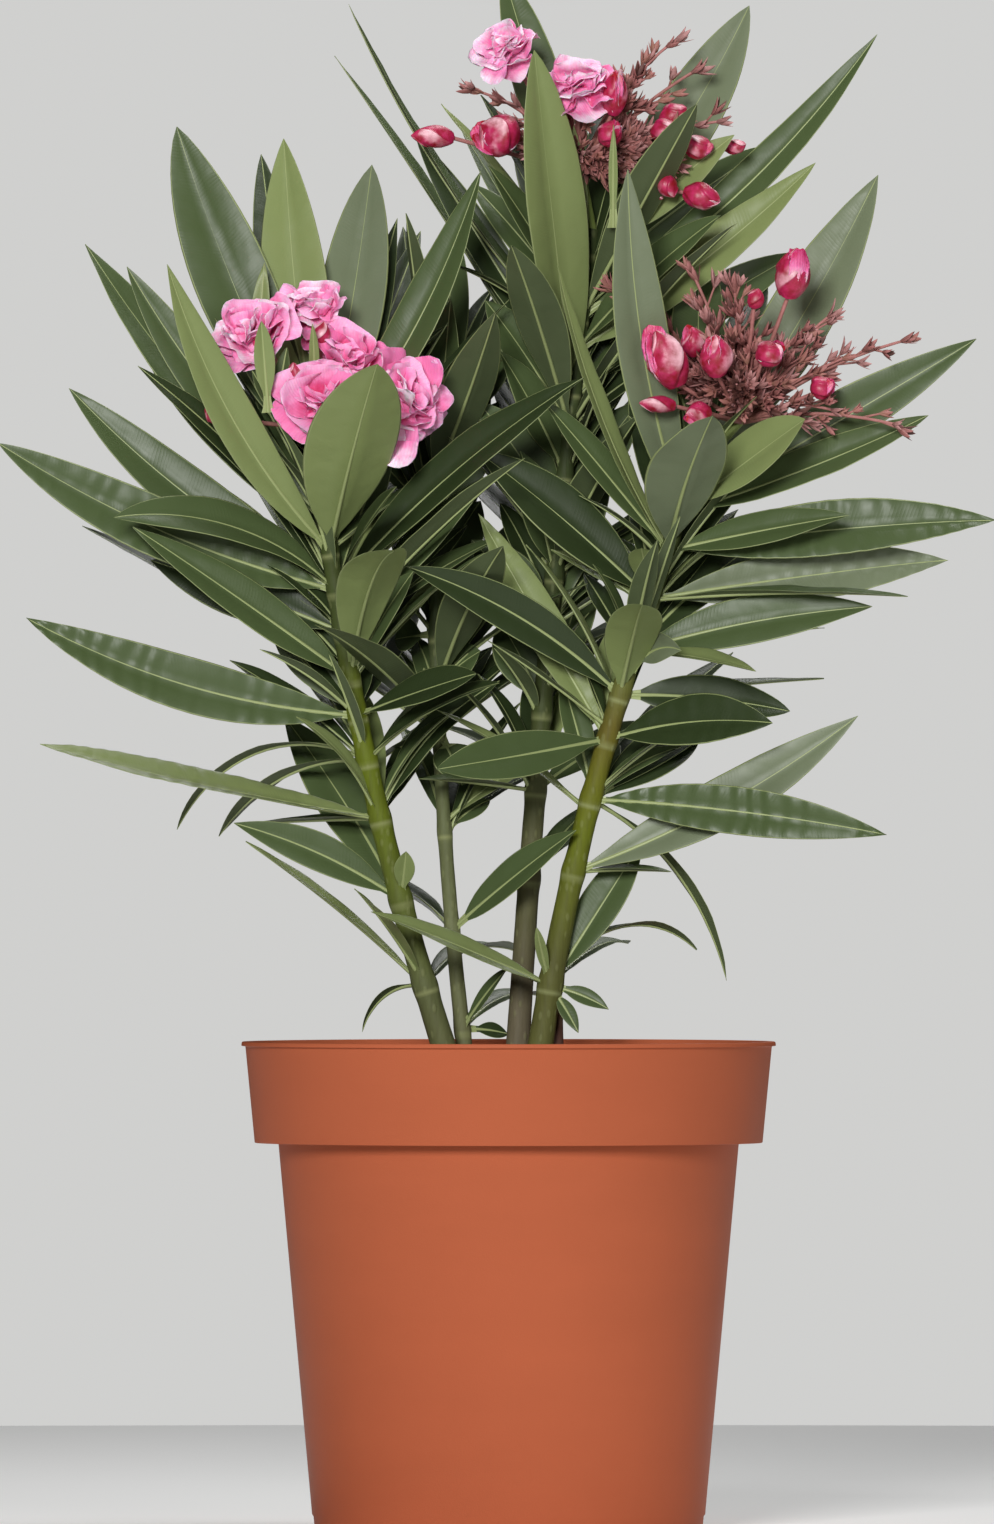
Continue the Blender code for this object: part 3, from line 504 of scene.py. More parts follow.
# For each stem and height on it, the leaves that show: the tip's place, the width, the droop from
# base to tip in degrees, how far the face turns to the front, the tint (deep partly painted shade, bright
# partly painted light) and the cross ripple.
leafTable = {
    "left": {
        234: [(-113, -18, 296, 13, 8, 0.25, "bright"), (-66, -37, 276, 16, 15, 0.3, "bright"),
            (-63, 8, 214, 9, 85, 0)],
        271: [(-118, -22, 304, 17, 14, 0.75), (-97, 46, 350, 24, 8, 0.85),
            (-44, -24, 292, 9, 4, 0.8, "bright")],
        306: [(-201, -30, 338, 22, -5, 0.3, "bright", 0.5), (-115, 17, 303, 13, 4, 0.1)],
        331: [(-4, -52, 364, 18, 30, 0.45, "deep"), (-143, 40, 301, 13, 85, 0, "deep"),
            (-125, 47, 298, 12, 50, 0, "deep")],
        350: [(-207, -24, 392, 24, -18, 0.85, "mid", 0.8), (-14, -56, 368, 20, 10, 0.55, "deep"),
            (-102, 6, 386, 16, 4, 0.65, "pale")],
        366: [(-161, -39, 431, 20, 4, 0.7), (-49, -93, 420, 28, 60, 0.1, "bright"),
            (-41, -24, 412, 17, 4, 0.55), (-184, 38, 432, 14, 4, 0.1, "deep")],
        386: [(-7, -25, 454, 17, 8, 0.55), (-154, 7, 417, 24, 4, 0.85, "deep")],
        404: [(-169, -45, 435, 22, 55, 0.5), (-219, -23, 467, 26, -12, 0.8, "mid", 0.55),
            (-189, -33, 491, 24, -12, 0.75), (32, -37, 495, 24, 18, 0.55, "deep"),
            (-48, -63, 448, 16, 25, 0.55, "deep")],
        421: [(-56, -103, 500, 40, 10, 0, "bright"), (-155, 7, 503, 20, 4, 0.65, "deep"),
            (-146, -69, 543, 20, -26, 0.8, "bright"), (-159, -50, 500, 14, 4, 0.65, "deep")],
        434: [(-182, 3, 553, 24, -14, 0.6), (-164, -28, 543, 20, -14, 0.75),
            (1, 9, 530, 12, 8, 0.1, "deep")],
        456: [(-143, 26, 604, 34, -20, 0.8), (-97, 1, 599, 29, 4, 0.85, "bright"),
            (-59, 25, 588, 29, -6, 0.85, "pale"), (-107, 67, 593, 20, 4, 0.65, "deep"),
            (-12, -50, 584, 22, -16, 0.65), (-38, 74, 560, 16, 3, 0.85, "deep"),
            (-48, 47, 565, 18, 3, 0.85, "deep")],
    },
    "back": {
        215: [(0, -8, 242, 7, 4, 0.65), (0, 20, 213, 8, 10, 0.65, "deep")],
        258: [(29, -19, 301, 17, 8, 0.65)],
        300: [(-8, 34, 314, 12, 20, 0.55)],
        342: [(-20, 15, 320, 22, 20, 0.55), (-55, 40, 331, 14, 30, 0.2)],
        362: [(-12, 16, 378, 20, 16, 0.55)],
        385: [(-16, 23, 404, 22, 10, 0.65), (-49, 33, 383, 18, 10, 0.65)],
        408: [(-12, 44, 443, 22, 8, 0.75), (-4, 24, 417, 20, 10, 0.65)],
        430: [(-4, 39, 486, 22, 6, 0.85), (-38, 54, 494, 18, 4, 0.75)],
        450: [(-25, 12, 529, 18, 4, 0.65)],
        468: [(-29, 48, 538, 17, 4, 0.7), (5, 38, 520, 22, 6, 0.7)],
    },
    "middle": {
        280: [(39, 51, 314, 12, 20, 0.2)],
        318: [(-39, 9, 323, 14, 5, 0.1), (57, 51, 348, 14, 12, 0.65)],
        352: [(-4, 30, 391, 24, 12, 0.75), (35, 53, 417, 20, 10, 0.75)],
        388: [(-16, 18, 426, 24, 12, 0.75), (44, 45, 469, 20, 8, 0.75)],
        410: [(5, 6, 464, 20, 8, 0.65)],
        432: [(-14, 16, 486, 24, 8, 0.75), (57, 40, 486, 22, 8, 0.75)],
        454: [(-4, 8, 507, 20, 8, 0.65)],
        474: [(-75, 44, 635, 17, 4, 0.15), (-10, 10, 529, 22, 6, 0.65)],
        490: [(11, -12, 636, 32, -10, 0.6, "bright"), (125, 53, 550, 20, 10, 0.75)],
        508: [(-69, 31, 657, 17, -20, 0.15), (132, 7, 588, 22, -20, 0.7, "bright"),
            (91, -9, 565, 20, 22, 0.55)],
        522: [(159, 37, 644, 19, -14, 0.6), (-16, 47, 580, 18, 4, 0.65), (-9, 3, 587, 18, 4, 0.55)],
        536: [(113, 62, 597, 18, 4, 0.75), (-29, 4, 614, 11, 3, 0.2, "bright"),
            (28, 11, 604, 10, 2, 0, "bright"), (65, 9, 593, 14, 3, 0.55, "bright")],
        550: [(104, 58, 657, 29, -16, 0.8, "pale"), (-3, 58, 673, 22, 4, 0.8),
            (97, 15, 600, 19, 4, 0.75, "bright")],
    },
    "right": {
        234: [(-59, -36, 266, 15, 5, 0.45, "bright"), (57, 7, 295, 19, 4, 0.7),
            (43, -9, 224, 8, 16, 0.65), (30, -14, 214, 7, 10, 0.65), (81, 35, 249, 10, 100, 0),
            (12, -16, 259, 5, 4, 0.85, "bright")],
        283: [(150, -16, 350, 23, -14, 0.75, "pale"), (70, 18, 283, 12, 10, 0.1)],
        314: [(162, -39, 299, 21, 14, 0.85, "mid", 1), (82, 24, 340, 18, 6, 0.65, "deep"),
            (94, 33, 236, 10, 50, 0)],
        340: [(-31, -70, 327, 21, 6, 0.8), (113, -46, 347, 24, 12, 0.7, "deep", 0.4),
            (-13, 0, 437, 20, 5, 0.7, "bright", 0.8)],
        359: [(-44, -47, 414, 19, 22, 0.85, "deep"), (57, -82, 397, 24, 40, 0.1, "bright"),
            (121, 0, 352, 20, 5, 0.75, "deep"), (136, 35, 366, 14, 4, 0.2, "deep")],
        378: [(136, 12, 388, 14, 4, 0.1, "deep"), (156, -23, 397, 22, 6, 0.75),
            (106, -44, 369, 16, 8, 0.3, "bright")],
        400: [(189, -16, 417, 24, 10, 0.85, "pale", 0.9), (171, -44, 401, 14, 8, 0.1),
            (-14, -30, 464, 28, 4, 0.65, "deep"), (57, -28, 422, 16, 30, 0.3, "bright")],
        421: [(209, -14, 434, 25, 12, 0.8, "mid", 1), (146, -30, 436, 18, 6, 0.6),
            (15, -40, 485, 16, 5, 0.65), (21, -37, 543, 14, -20, 0.5, "bright"),
            (87, -86, 478, 34, 10, 0, "pale")],
        438: [(127, -54, 477, 24, 8, 0.65, "bright"), (180, -26, 479, 20, -18, 0.55),
            (201, -10, 512, 24, -8, 0.85), (51, -46, 584, 24, -20, 0.75, "pale"),
            (51, -33, 499, 18, 5, 0.65)],
        452: [(159, 17, 583, 30, -14, 0.8, "pale"), (57, 5, 507, 22, 6, 0.85),
            (82, 42, 559, 24, 4, 0.85)],
    },
}
growth = {
    "seed": 7,
    "gap": 0.35,
    "stemSides": 8,
    "stemStep": 16.0,
    "rootFlare": 0.22,
    "flareHeight": 9.0,
    "outline": ((0, 0.12), (0.08, 0.13), (0.36, 0.94), (0.7, 0.84), (1, 0)),
    "fold": 0.06,
    "thickness": 0.011,
    "leastThickness": 0.9,
    "lowLeaves": 1,
    "backLeaves": 3,
    "roundLeaves": 5,
    "fanStep": 62,
    "fanTurn": 25,
    "fanWander": 12,
    "rise": (6, 72),  # degrees, at the stem's foot and at its tip
    "riseWander": 7,
    "length": (100, 132),
    "width": (16, 24),
    "droop": (4, 16),
    "footDroop": 18,
    "show": (-0.2, 0.2),
    "swings": (0, 0.12, -0.12, 0.24, -0.24, 0.36, -0.36, 0.48, -0.48),
    "clearance": 0.45,
}


def tube(rings):
    count = len(rings[0])
    faces = [tuple(range(count))[::-1]]
    for start in range(0, (len(rings) - 1) * count, count):
        for i in range(count):
            after = (i + 1) % count
            faces.append((start + i, start + after, start + count + after, start + count + i))
    faces.append(tuple(range((len(rings) - 1) * count, len(rings) * count)))
    return [point for ring in rings for point in ring], faces


def roundRing(centre, radius, sides):
    angles = [2 * math.pi * i / sides for i in range(sides)]
    return [centre + Vector((math.cos(a), math.sin(a), 0)) * radius for a in angles]


def heading(turn, rise):
    # the way at a turn round Z from +X and a rise off the level, both in radians
    flat = math.cos(rise)
    return Vector((flat * math.cos(turn), flat * math.sin(turn), math.sin(rise)))


def stemShare(stem, height):
    return (height - compostTop) / (stem.top[2] - compostTop)


def stemPoint(stem, height):
    share = stemShare(stem, height)
    bulge = 4 * share * (1 - share)
    x, y = (stem.foot[i] + (stem.top[i] - stem.foot[i]) * share + stem.bow[i] * bulge for i in range(2))
    return Vector((x, y, height))


def stemRadius(stem, height):
    flare = 1 + growth["rootFlare"] * math.exp(-(height - compostTop) / growth["flareHeight"])
    return (stem.footRadius + (stem.tipRadius - stem.footRadius) * stemShare(stem, height)) * flare


def stemTube(stem, low, high):
    steps = max(1, round((high - low) / growth["stemStep"]))
    heights = [low + (high - low) * k / steps for k in range(steps + 1)]
    sides = growth["stemSides"]
    return tube([roundRing(stemPoint(stem, h), stemRadius(stem, h), sides) for h in heights])


def bladeFrames(base, leaf, stations, facing=front):
    # (point, direction, normal of the face) at shares along an arc from the base to the tip
    reach = Vector((leaf.x, leaf.y, leaf.z)) - base
    chord, length = reach.normalized(), reach.length
    side = up.cross(chord).normalized()
    lift = chord.cross(side)
    face = lift.lerp(facing, leaf.show)
    face = (face - chord * face.dot(chord)).normalized()
    bend = math.radians(leaf.droop) or 0.001
    frames = []
    for share in stations:
        angle = bend * (share - 0.5)
        along = 0.5 + math.sin(angle) / math.sin(bend / 2) / 2
        rise = (math.cos(angle) - math.cos(bend / 2)) / math.sin(bend / 2) / 2
        turn = Matrix.Rotation(angle, 3, side)
        frames.append((base + (chord * along + lift * rise) * length, turn @ chord, turn @ face))
    return frames


def bladeRings(base, leaf, thickness, grow):
    frames = bladeFrames(base, leaf, [share for share, _ in growth["outline"]])
    rings = []
    for (point, direction, face), (_, share) in zip(frames, growth["outline"]):
        across = face.cross(direction)
        wide = leaf.width / 2 * share
        top = point + face * (growth["fold"] * wide + grow)
        keel = point - face * (thickness + grow)
        wide += grow
        rings.append([top - across * wide, keel, top + across * wide])
    return rings


def searchTree(solid):
    points, faces = solid
    low = [min(p[i] for p in points) for i in range(3)]
    high = [max(p[i] for p in points) for i in range(3)]
    return BVHTree.FromPolygons(points, faces), low, high


def meet(one, other):
    apart = any(one[1][i] > other[2][i] or other[1][i] > one[2][i] for i in range(3))
    return not apart and bool(one[0].overlap(other[0]))


def isFree(taken, mass, stem, whole, blade):
    # a leaf's foot may sink in its own stem and touch the feet of the leaves in its own mass
    for other, body, own in taken:
        if other == stem:
            clash = meet(blade, body)
        elif other == mass:
            clash = meet(blade, own)
        else:
            clash = meet(whole, body)
        if clash:
            return False
    return True


def leafLength(base, leaf):
    return (Vector((leaf.x, leaf.y, leaf.z)) - base).length


def placeLeaf(taken, mass, stem, base, leaf):
    # swings the leaf's tip back and forth until it finds a free space
    length = leafLength(base, leaf)
    for swing in growth["swings"]:
        tried = leaf._replace(y=leaf.y + swing * length)
        thickness = max(leafLength(base, tried) * growth["thickness"], growth["leastThickness"])
        rings = bladeRings(base, tried, thickness, growth["clearance"])
        whole, blade = searchTree(tube(rings)), searchTree(tube(rings[2:]))
        if isFree(taken, mass, stem, whole, blade):
            taken.append((mass, whole, blade))
            return tried
    return None


def growOne(taken, plan, name, index, height, base, leaf):
    mass = f"whorl_{name}_{index + 1}" if height < stems[name].crownFrom else f"crown_{name}"
    found = placeLeaf(taken, mass, f"stem_{name}", base, leaf)
    if found:
        plan[name].append((base, found))


def seededLeaves(rng, name, index, height):
    # a fan round the back of each whorl, steep near the stem's tip and level near its foot
    stem, g = stems[name], growth
    base, share = stemPoint(stem, height), stemShare(stem, height)
    count = g["roundLeaves"] if height < stem.roundTo else g["backLeaves"]
    if height < stem.crownFrom:
        count = g["lowLeaves"]
    lowRise, highRise = g["rise"]
    for k in range(count):
        turn = g["fanTurn"] * (-1) ** index + (k - (count - 1) / 2) * g["fanStep"]
        turn += rng.uniform(-g["fanWander"], g["fanWander"])
        rise = lowRise + (highRise - lowRise) * share**1.5 + rng.uniform(-g["riseWander"], g["riseWander"])
        length = rng.uniform(*g["length"]) * (1.1 - 0.3 * share)
        y, x, z = heading(math.radians(turn), math.radians(rise))
        width = rng.uniform(*g["width"]) * (0.8 + 0.3 * share)
        droop = rng.uniform(*g["droop"]) + g["footDroop"] * (1 - share)
        # these leaves fan round the back of the whorl, so most take the deep tint as painted shade
        tint = "mid" if (index + k) % 3 == 0 else "deep"
        yield Leaf(*(base + Vector((x, y, z)) * length), width, droop, rng.uniform(*g["show"]), tint)


def takenAtFirst():
    # (mass, whole, blade) of the stems and the trusses, each as search trees
    taken = []
    for name, stem in stems.items():
        body = searchTree(stemTube(stem, compostTop + growth["gap"], stem.crownFrom))
        taken.append((f"stem_{name}", body, body))
    for name in leafTable:
        core = searchTree(stemTube(stems[name], stems[name].crownFrom + growth["gap"], stems[name].top[2]))
        taken.append((f"crown_{name}", core, core))
    for name in trusses:
        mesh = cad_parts[f"truss_{name}"].data
        body = searchTree(([v.co / mm for v in mesh.vertices], [tuple(p.vertices) for p in mesh.polygons]))
        taken.append((f"truss_{name}", body, body))
    return taken


def planLeaves():
    # every leaf as (base, leaf), for each stem
    taken, plan = takenAtFirst(), {name: [] for name in leafTable}
    whorls = [
        (name, index, height, leaves)
        for name, nodes in leafTable.items()
        for index, (height, leaves) in enumerate(nodes.items())
    ]
    rng = random.Random(growth["seed"])
    listed = [(*whorl[:3], Leaf(*leaf)) for whorl in whorls for leaf in whorl[3]]
    seeded = [(*whorl[:3], leaf) for whorl in whorls for leaf in seededLeaves(rng, *whorl[:3])]
    for name, index, height, leaf in listed + seeded:
        growOne(taken, plan, name, index, height, stemPoint(stems[name], height), leaf)
    growYoung(taken, plan)
    return plan


# Young leaves, only in the dressed plant, fill the crowns close to the stems.
youngLeaves = {
    "seed": 19,
    "perWhorl": 8,
    "lowest": 300,
    "length": (38, 82),
    "width": (10, 16),
    "rise": (28, 72),
    "droop": (4, 40),
    "show": (0, 0.5),
    "heightWander": (-6, 6),
    "turnWander": (-0.5, 0.5),
    "foremost": -0.3,
    "tints": ("deep", "mid", "mid", "deep", "bright"),
}


def growYoung(taken, plan):
    y = youngLeaves
    rng = random.Random(y["seed"])
    for name, nodes in leafTable.items():
        for index, height in enumerate(nodes):
            for k in range(y["perWhorl"] if height >= y["lowest"] else 0):
                base = stemPoint(stems[name], height + rng.uniform(*y["heightWander"]))
                turn = math.tau * k / y["perWhorl"] + rng.uniform(*y["turnWander"])
                way = heading(turn, math.radians(rng.uniform(*y["rise"])))
                tip = base + way * rng.uniform(*y["length"])
                width, droop, show = (rng.uniform(*y[key]) for key in ("width", "droop", "show"))
                leaf = Leaf(*tip, width, droop, show, rng.choice(y["tints"]))
                if way.y >= y["foremost"]:
                    growOne(taken, plan, name, index, height, base, leaf)


# A few more leaves close up the backs of the crowns, most in the deep tint as painted shade: the height on
# the stem, then the leaf.
backLeaves = {
    "left": [(386, (-158, 26, 462, 20, 10, 0.7, "deep")), (404, (-136, 32, 508, 22, 8, 0.75, "deep")),
             (421, (-116, 36, 535, 22, 6, 0.8, "mid")), (350, (-112, 34, 420, 18, 8, 0.7, "deep"))],
    "middle": [(490, (-40, 46, 600, 16, 6, 0.7, "deep")), (474, (66, 52, 556, 20, 8, 0.75, "deep"))],
    "right": [(378, (118, 30, 432, 20, 8, 0.7, "deep")), (400, (122, 28, 486, 20, 8, 0.7, "deep")),
              (314, (92, 34, 350, 18, 10, 0.7, "deep"))],
}

# The leaf blades.
leafShape = {
    "stations": 20,
    "stationsPerRipple": 6,
    "crowding": 1.15,
    "baseFullness": (0.75, 1.05),  # lower is blunter at that end
    "tipFullness": (0.80, 1.02),
    "tipRadius": 0.12,
    "petiole": 6.0,
    "petioleRadius": 1.45,
    "petioleFlare": 3.0,
    "ribRadius": 1.05,
    "ribTipRadius": 0.20,
    "ribTaper": 0.8,
    "ribEnd": 0.08,
    "twist": 0.32,
    "sway": 0.022,
    "values": {
        "Section Points": 20,
        "Fold": 0.28,
        "Thickness": 0.028,
        "Ripple Height": 0.55,
        "Ripple Length": 8.5,
        "Wave Height": 1.5,
        "Wave Scale": 34.0,
        "Rib Drop": 0.15,
    },
}


def bladeShare(share, baseFullness, tipFullness):
    # half the width at a share of the length, as a share of half the greatest width
    widest = baseFullness / (baseFullness + tipFullness)
    peak = widest**baseFullness * (1 - widest) ** tipFullness
    return share**baseFullness * (1 - share) ** tipFullness / peak


def bladeStrand(base, leaf, shares, girths, ribs=None, twist=0.0, sway=0.0, facing=front):
    length = leafLength(base, leaf)
    keys = ("across", "facing", "rib", "along", "reach", "tint", "ripple")
    points, rails = [], {key: [] for key in keys}
    tint, ripple = float(tints.index(leaf.tint)), float(leaf.ripple)
    frames = bladeFrames(base, leaf, shares, facing)
    for share, rib, (point, direction, face) in zip(shares, ribs or [0] * len(shares), frames):
        face = Matrix.Rotation(twist * (share - 0.3), 3, direction) @ face
        across = face.cross(direction)
        points.append(point + across * sway * length * math.sin(math.pi * share))
        for key, value in zip(keys, (across, face, rib * mm, share * length, share, tint, ripple)):
            rails[key].append(value)
    return Strand(points, girths, rails)


def leafStrand(rng, base, leaf):
    s = leafShape
    length = leafLength(base, leaf)
    count = s["stations"]
    if leaf.ripple:
        count = max(count, round(length / s["values"]["Ripple Length"] * s["stationsPerRipple"]))
    shares = [1 - (1 - k / (count - 1)) ** s["crowding"] for k in range(count)]
    bare = s["petiole"] / length
    fullness = rng.uniform(*s["baseFullness"]), rng.uniform(*s["tipFullness"])
    girths, ribs = [], []
    for share in shares:
        opened = max(0.0, (share - bare) / (1 - bare))
        half = leaf.width / 2 * bladeShare(opened, *fullness)
        foot = s["petioleRadius"] * (1 + math.exp(-share * length / s["petioleFlare"]))
        girths.append(max(half, foot if share < 0.5 else s["tipRadius"]))
        taper = (1 - share) ** s["ribTaper"]
        ribs.append(s["ribTipRadius"] + (s["ribRadius"] - s["ribTipRadius"]) * taper)
    ribs[-1] = s["ribEnd"]
    twist, sway = (rng.uniform(-1, 1) * s[key] for key in ("twist", "sway"))
    return bladeStrand(base, leaf, shares, girths, ribs, twist, sway)


def growLeaves(plan):
    rng = random.Random(growth["seed"])
    for name, leaves in plan.items():
        added = [(Vector(base), Leaf(*leaf)) for base, leaf in bracts.get(name, [])]
        added += [(stemPoint(stems[name], height), Leaf(*leaf)) for height, leaf in backLeaves.get(name, [])]
        strands = [leafStrand(rng, base, leaf) for base, leaf in leaves + added]
        values = {**leafShape["values"], **leafMaterials}
        piece = grown(f"leaves_{name}", strandMesh("leafLines", strands), bladeTree, values)
        whorls = [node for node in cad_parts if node.startswith(f"whorl_{name}_")]
        pieceReady(piece, "leaf_green", f"crown_{name}", *whorls)


# The stems, swollen a little at each node under a pale ring.
stemShape = {
    "step": 1.5,
    "sunk": 2.5,
    "swelling": 0.13,
    "swellingHeight": 4.5,
    "ringDrop": 2.6,
    "ringHeight": 0.9,
    "values": {"Sides": 20, "Relief": 0.35, "Relief Scale": 260.0},
}
barkLook = {
    "roughness": 0.55,
    "specular": 0.12,
    "depth": 0.25,
    "streakScale": 700.0,
    "streakShare": 0.28,
    "streakColour": (0.05, 0.045, 0.02),
    "freckleScale": 260.0,
    "freckleShare": 0.22,
    "freckleDepth": 0.6,
    "ringShare": 0.75,
    "ringColour": (0.26, 0.28, 0.12),
}
# each stem's colours by height
barkColours = {
    "left": [(190, (0.120, 0.120, 0.050)), (232, (0.110, 0.125, 0.050)), (262, (0.105, 0.130, 0.028)),
             (300, (0.105, 0.135, 0.010)), (345, (0.125, 0.160, 0.011)), (366, (0.090, 0.115, 0.013)),
             (380, (0.055, 0.075, 0.020))],
    "back": [(190, (0.130, 0.130, 0.060)), (260, (0.150, 0.165, 0.075)), (340, (0.100, 0.120, 0.050)),
             (400, (0.050, 0.070, 0.025))],
    # the middle stem's dip at 262 mm and its dark upper part are partly painted shade
    "middle": [(190, (0.170, 0.140, 0.090)), (235, (0.130, 0.112, 0.066)), (262, (0.102, 0.098, 0.045)),
               (295, (0.120, 0.120, 0.055)), (350, (0.055, 0.072, 0.022)), (420, (0.050, 0.070, 0.024))],
    "right": [(190, (0.125, 0.125, 0.040)), (245, (0.100, 0.105, 0.026)), (300, (0.125, 0.150, 0.010)),
              (322, (0.130, 0.135, 0.012)), (345, (0.120, 0.100, 0.016)), (372, (0.130, 0.150, 0.040)),
              (400, (0.060, 0.080, 0.024))],
    "stub": [(190, (0.150, 0.070, 0.055)), (216, (0.130, 0.062, 0.048)), (224, (0.260, 0.190, 0.120))],
}


def barkFinish(name):
    b, stops = barkLook, barkColours[name]
    fixed = {"Roughness": b["roughness"], "Specular_IOR_Level": b["specular"]}
    finish, tree, shader = newFinish(f"bark_{name}", **fixed)
    place = objectPlace(tree)
    height = addNode(tree, "ShaderNodeSeparateXYZ", {0: place}).outputs[2]
    low, high = stops[0][0], stops[-1][0]
    ramp = addNode(tree, "ShaderNodeValToRGB", {0: ranged(tree, height, low * mm, high * mm)})
    spots = ramp.color_ramp.elements
    spots.remove(spots[1])
    spots[0].color = (*stops[0][1], 1)
    for at, colour in stops[1:]:
        spots.new((at - low) / (high - low)).color = (*colour, 1)
    streaks = speckle(tree, stretched(tree, place, (1, 1, 0.12)), b["streakScale"], 4.0)
    inputs = {"Vector": stretched(tree, place, (1, 1, 0.5)), "Scale": b["freckleScale"]}
    freckles = addNode(tree, "ShaderNodeTexVoronoi", inputs).outputs["Distance"]
    freckle = ranged(tree, freckles, 0.16, 0.30, 1.0, 0.0)
    streaky = ranged(tree, streaks, 0.35, 0.7, 0.0, b["streakShare"])
    colour = blended(tree, streaky, ramp.outputs[0], b["streakColour"])
    colour = blended(tree, times(tree, freckle, b["freckleShare"]), colour, b["ringColour"])
    colour = blended(tree, times(tree, attribute(tree, "ring"), b["ringShare"]), colour, b["ringColour"])
    coloured(tree, shader, colour)
    bumped(tree, shader, plus(tree, streaks, times(tree, freckle, b["freckleDepth"])), b["depth"])
    return finish


def hump(offset, width):
    return math.exp(-((offset / width) ** 2))


def growStems():
    s = stemShape
    for name, stem in stems.items():
        foot, top = compostTop - s["sunk"], stem.top[2]
        count = round((top - foot) / s["step"])
        shares = [k / (count - 1) for k in range(count)]
        heights = [foot + (top - foot) * k / (count - 1) for k in range(count)]
        nodes = list(leafTable.get(name, []))
        girths, rings = [], []
        for height in heights:
            swelling = sum(hump(height - node, s["swellingHeight"]) for node in nodes)
            ring = sum(hump(height - node + s["ringDrop"], s["ringHeight"]) for node in nodes)
            girths.append(stemRadius(stem, max(height, compostTop)) * (1 + s["swelling"] * min(1, swelling)))
            rings.append(min(1.0, ring))
        points = [stemPoint(stem, height) for height in heights]
        mesh = strandMesh("stemLine", [Strand(points, girths, {"ring": rings, "reach": shares})])
        piece = grown(f"bark_{name}", mesh, rodTree, {**s["values"], "finish": barkFinish(name)})
        pieceReady(piece, f"bark_{name}", f"stem_{name}")


# The trusses: double flowers, furled buds, and sprays that carry only calyces.
Truss = namedtuple("Truss", "hub blooms buds sprays")
Bloom = namedtuple("Bloom", "x y z radius shades", defaults=("deep mid mid bright",))
Bud = namedtuple("Bud", "x y z length radius slant")
trusses = {
    "left": Truss(
        (-81, -20, 473),
        [
            Bloom(-109, -28, 516, 17, "mid mid bright pale"),
            Bloom(-85, -10, 525, 14, "mid bright pale"),
            Bloom(-70, -22, 503, 16, "deep deep mid"),
            Bloom(-80, -42, 485, 17.5, "deep mid mid"),
            Bloom(-44, -30, 487, 18, "deep mid mid bright"),
        ],
        [Bud(-122, -34, 477, 10, 4, 150), Bud(-81, -26, 509, 11, 3.5, 80), Bud(-91, -36, 493, 9, 3, 100)],
        [],
    ),
    "middle": Truss(
        (31, 22, 584),
        [
            Bloom(-1, 12, 638, 13, "bright pale pale"),
            Bloom(29, 6, 621, 15, "bright bright pale mid"),
        ],
        [
            Bud(-24, 12, 599, 19, 4.5, 178),
            Bud(2, 4, 596, 17, 9, 150),
            Bud(45, 8, 609, 20, 5, 86),
            Bud(62, 12, 600, 13, 5, 20),
            Bud(66, 20, 606, 13, 4.5, 30),
            Bud(76, 4, 575, 16, 5.5, -12),
            Bud(94, 16, 594, 9, 3, 15),
            Bud(60, 10, 578, 9, 3, -40),
            Bud(41, 4, 596, 12, 5, 60),
            Bud(66, 2, 582, 11, 4, -60),
            Bud(77, 6, 593, 11, 5, 20),
        ],
        [(69, 20, 639), (80, 30, 628), (91, 14, 606), (-16, 26, 620), (52, 34, 622), (4, 34, 604)],
    ),
    "right": Truss(
        (100, -14, 476),
        [],
        [
            Bud(120, -30, 530, 22, 7, 80),
            Bud(105, -32, 525, 9, 3.5, 75),
            Bud(72, -38, 492, 26, 8, 112),
            Bud(80, -22, 505, 13, 5, 100),
            Bud(89, -40, 496, 18, 6.5, 92),
            Bud(108, -36, 502, 12, 5.5, 40),
            Bud(71, -34, 483, 16, 3.5, 176),
            Bud(86, -44, 480, 11, 5, 190),
            Bud(131, -30, 488, 10, 5, 40),
        ],
        [(44, -22, 533), (78, -12, 542), (97, -20, 533), (138, -16, 522), (173, -22, 512),
         (166, -34, 475), (64, -8, 518)],
    ),
}
# petals that hang loose: where each starts, then the petal as a leaf
loosePetals = {
    "left": [((-46, -36, 484), (-51, -40, 457, 19, -30, 0.8, "bright"))],
    "middle": [((-4, 4, 635), (-9, 2, 622, 11, -30, 0.8, "pale"))],
}
# small leaves among the flowers and by the stem: where each starts, then the leaf
bracts = {
    "left": [((-103, -42, 480), (-106, -50, 519, 9, 6, 0.9, "bright")),
             ((-84, -30, 486), (-84, -40, 518, 4.5, 4, 0.8, "bright")),
             ((-96, -34, 474), (-110, -40, 498, 7, 6, 0.7, "mid")),
             ((-98, -34, 480), (-95, -36, 508, 7, 6, 0.7, "mid")),
             ((-107, -4, 500), (-105, -2, 545, 8, 4, 0.7, "bright"))],
    "middle": [((45, 0, 560), (45, -8, 604, 4, 4, 0.9, "bright"))],
    "right": [((54, -14, 370), (74, -42, 378, 13, 60, 0.8, "pale"))],
}
# The double flowers. A whorl is how many petals, their length as a share of the flower's
# radius, and the rise and turn in degrees.
petalShape = {
    "whorls": [(5, 1.25, 0, 0), (6, 1.1, 22, 36), (6, 0.95, 42, 15), (6, 0.75, 60, 50), (5, 0.5, 76, 20)],
    "turnWander": (-16, 16),
    "riseWander": (-16, 22),
    "width": 1.3,
    "droop": (-80, 40),
    "twist": (-0.9, 0.9),
    "show": 0.8,
    "stations": 14,
    "footWidth": 0.15,
    "fullness": (0.6, 0.28),
    "values": {
        "Section Points": 24,
        "Fold": 0.12,
        "Thickness": 0.02,
        "Wave Height": 7.0,
        "Wave Scale": 120.0,
        "Wave Spread": 0.35,
    },
}
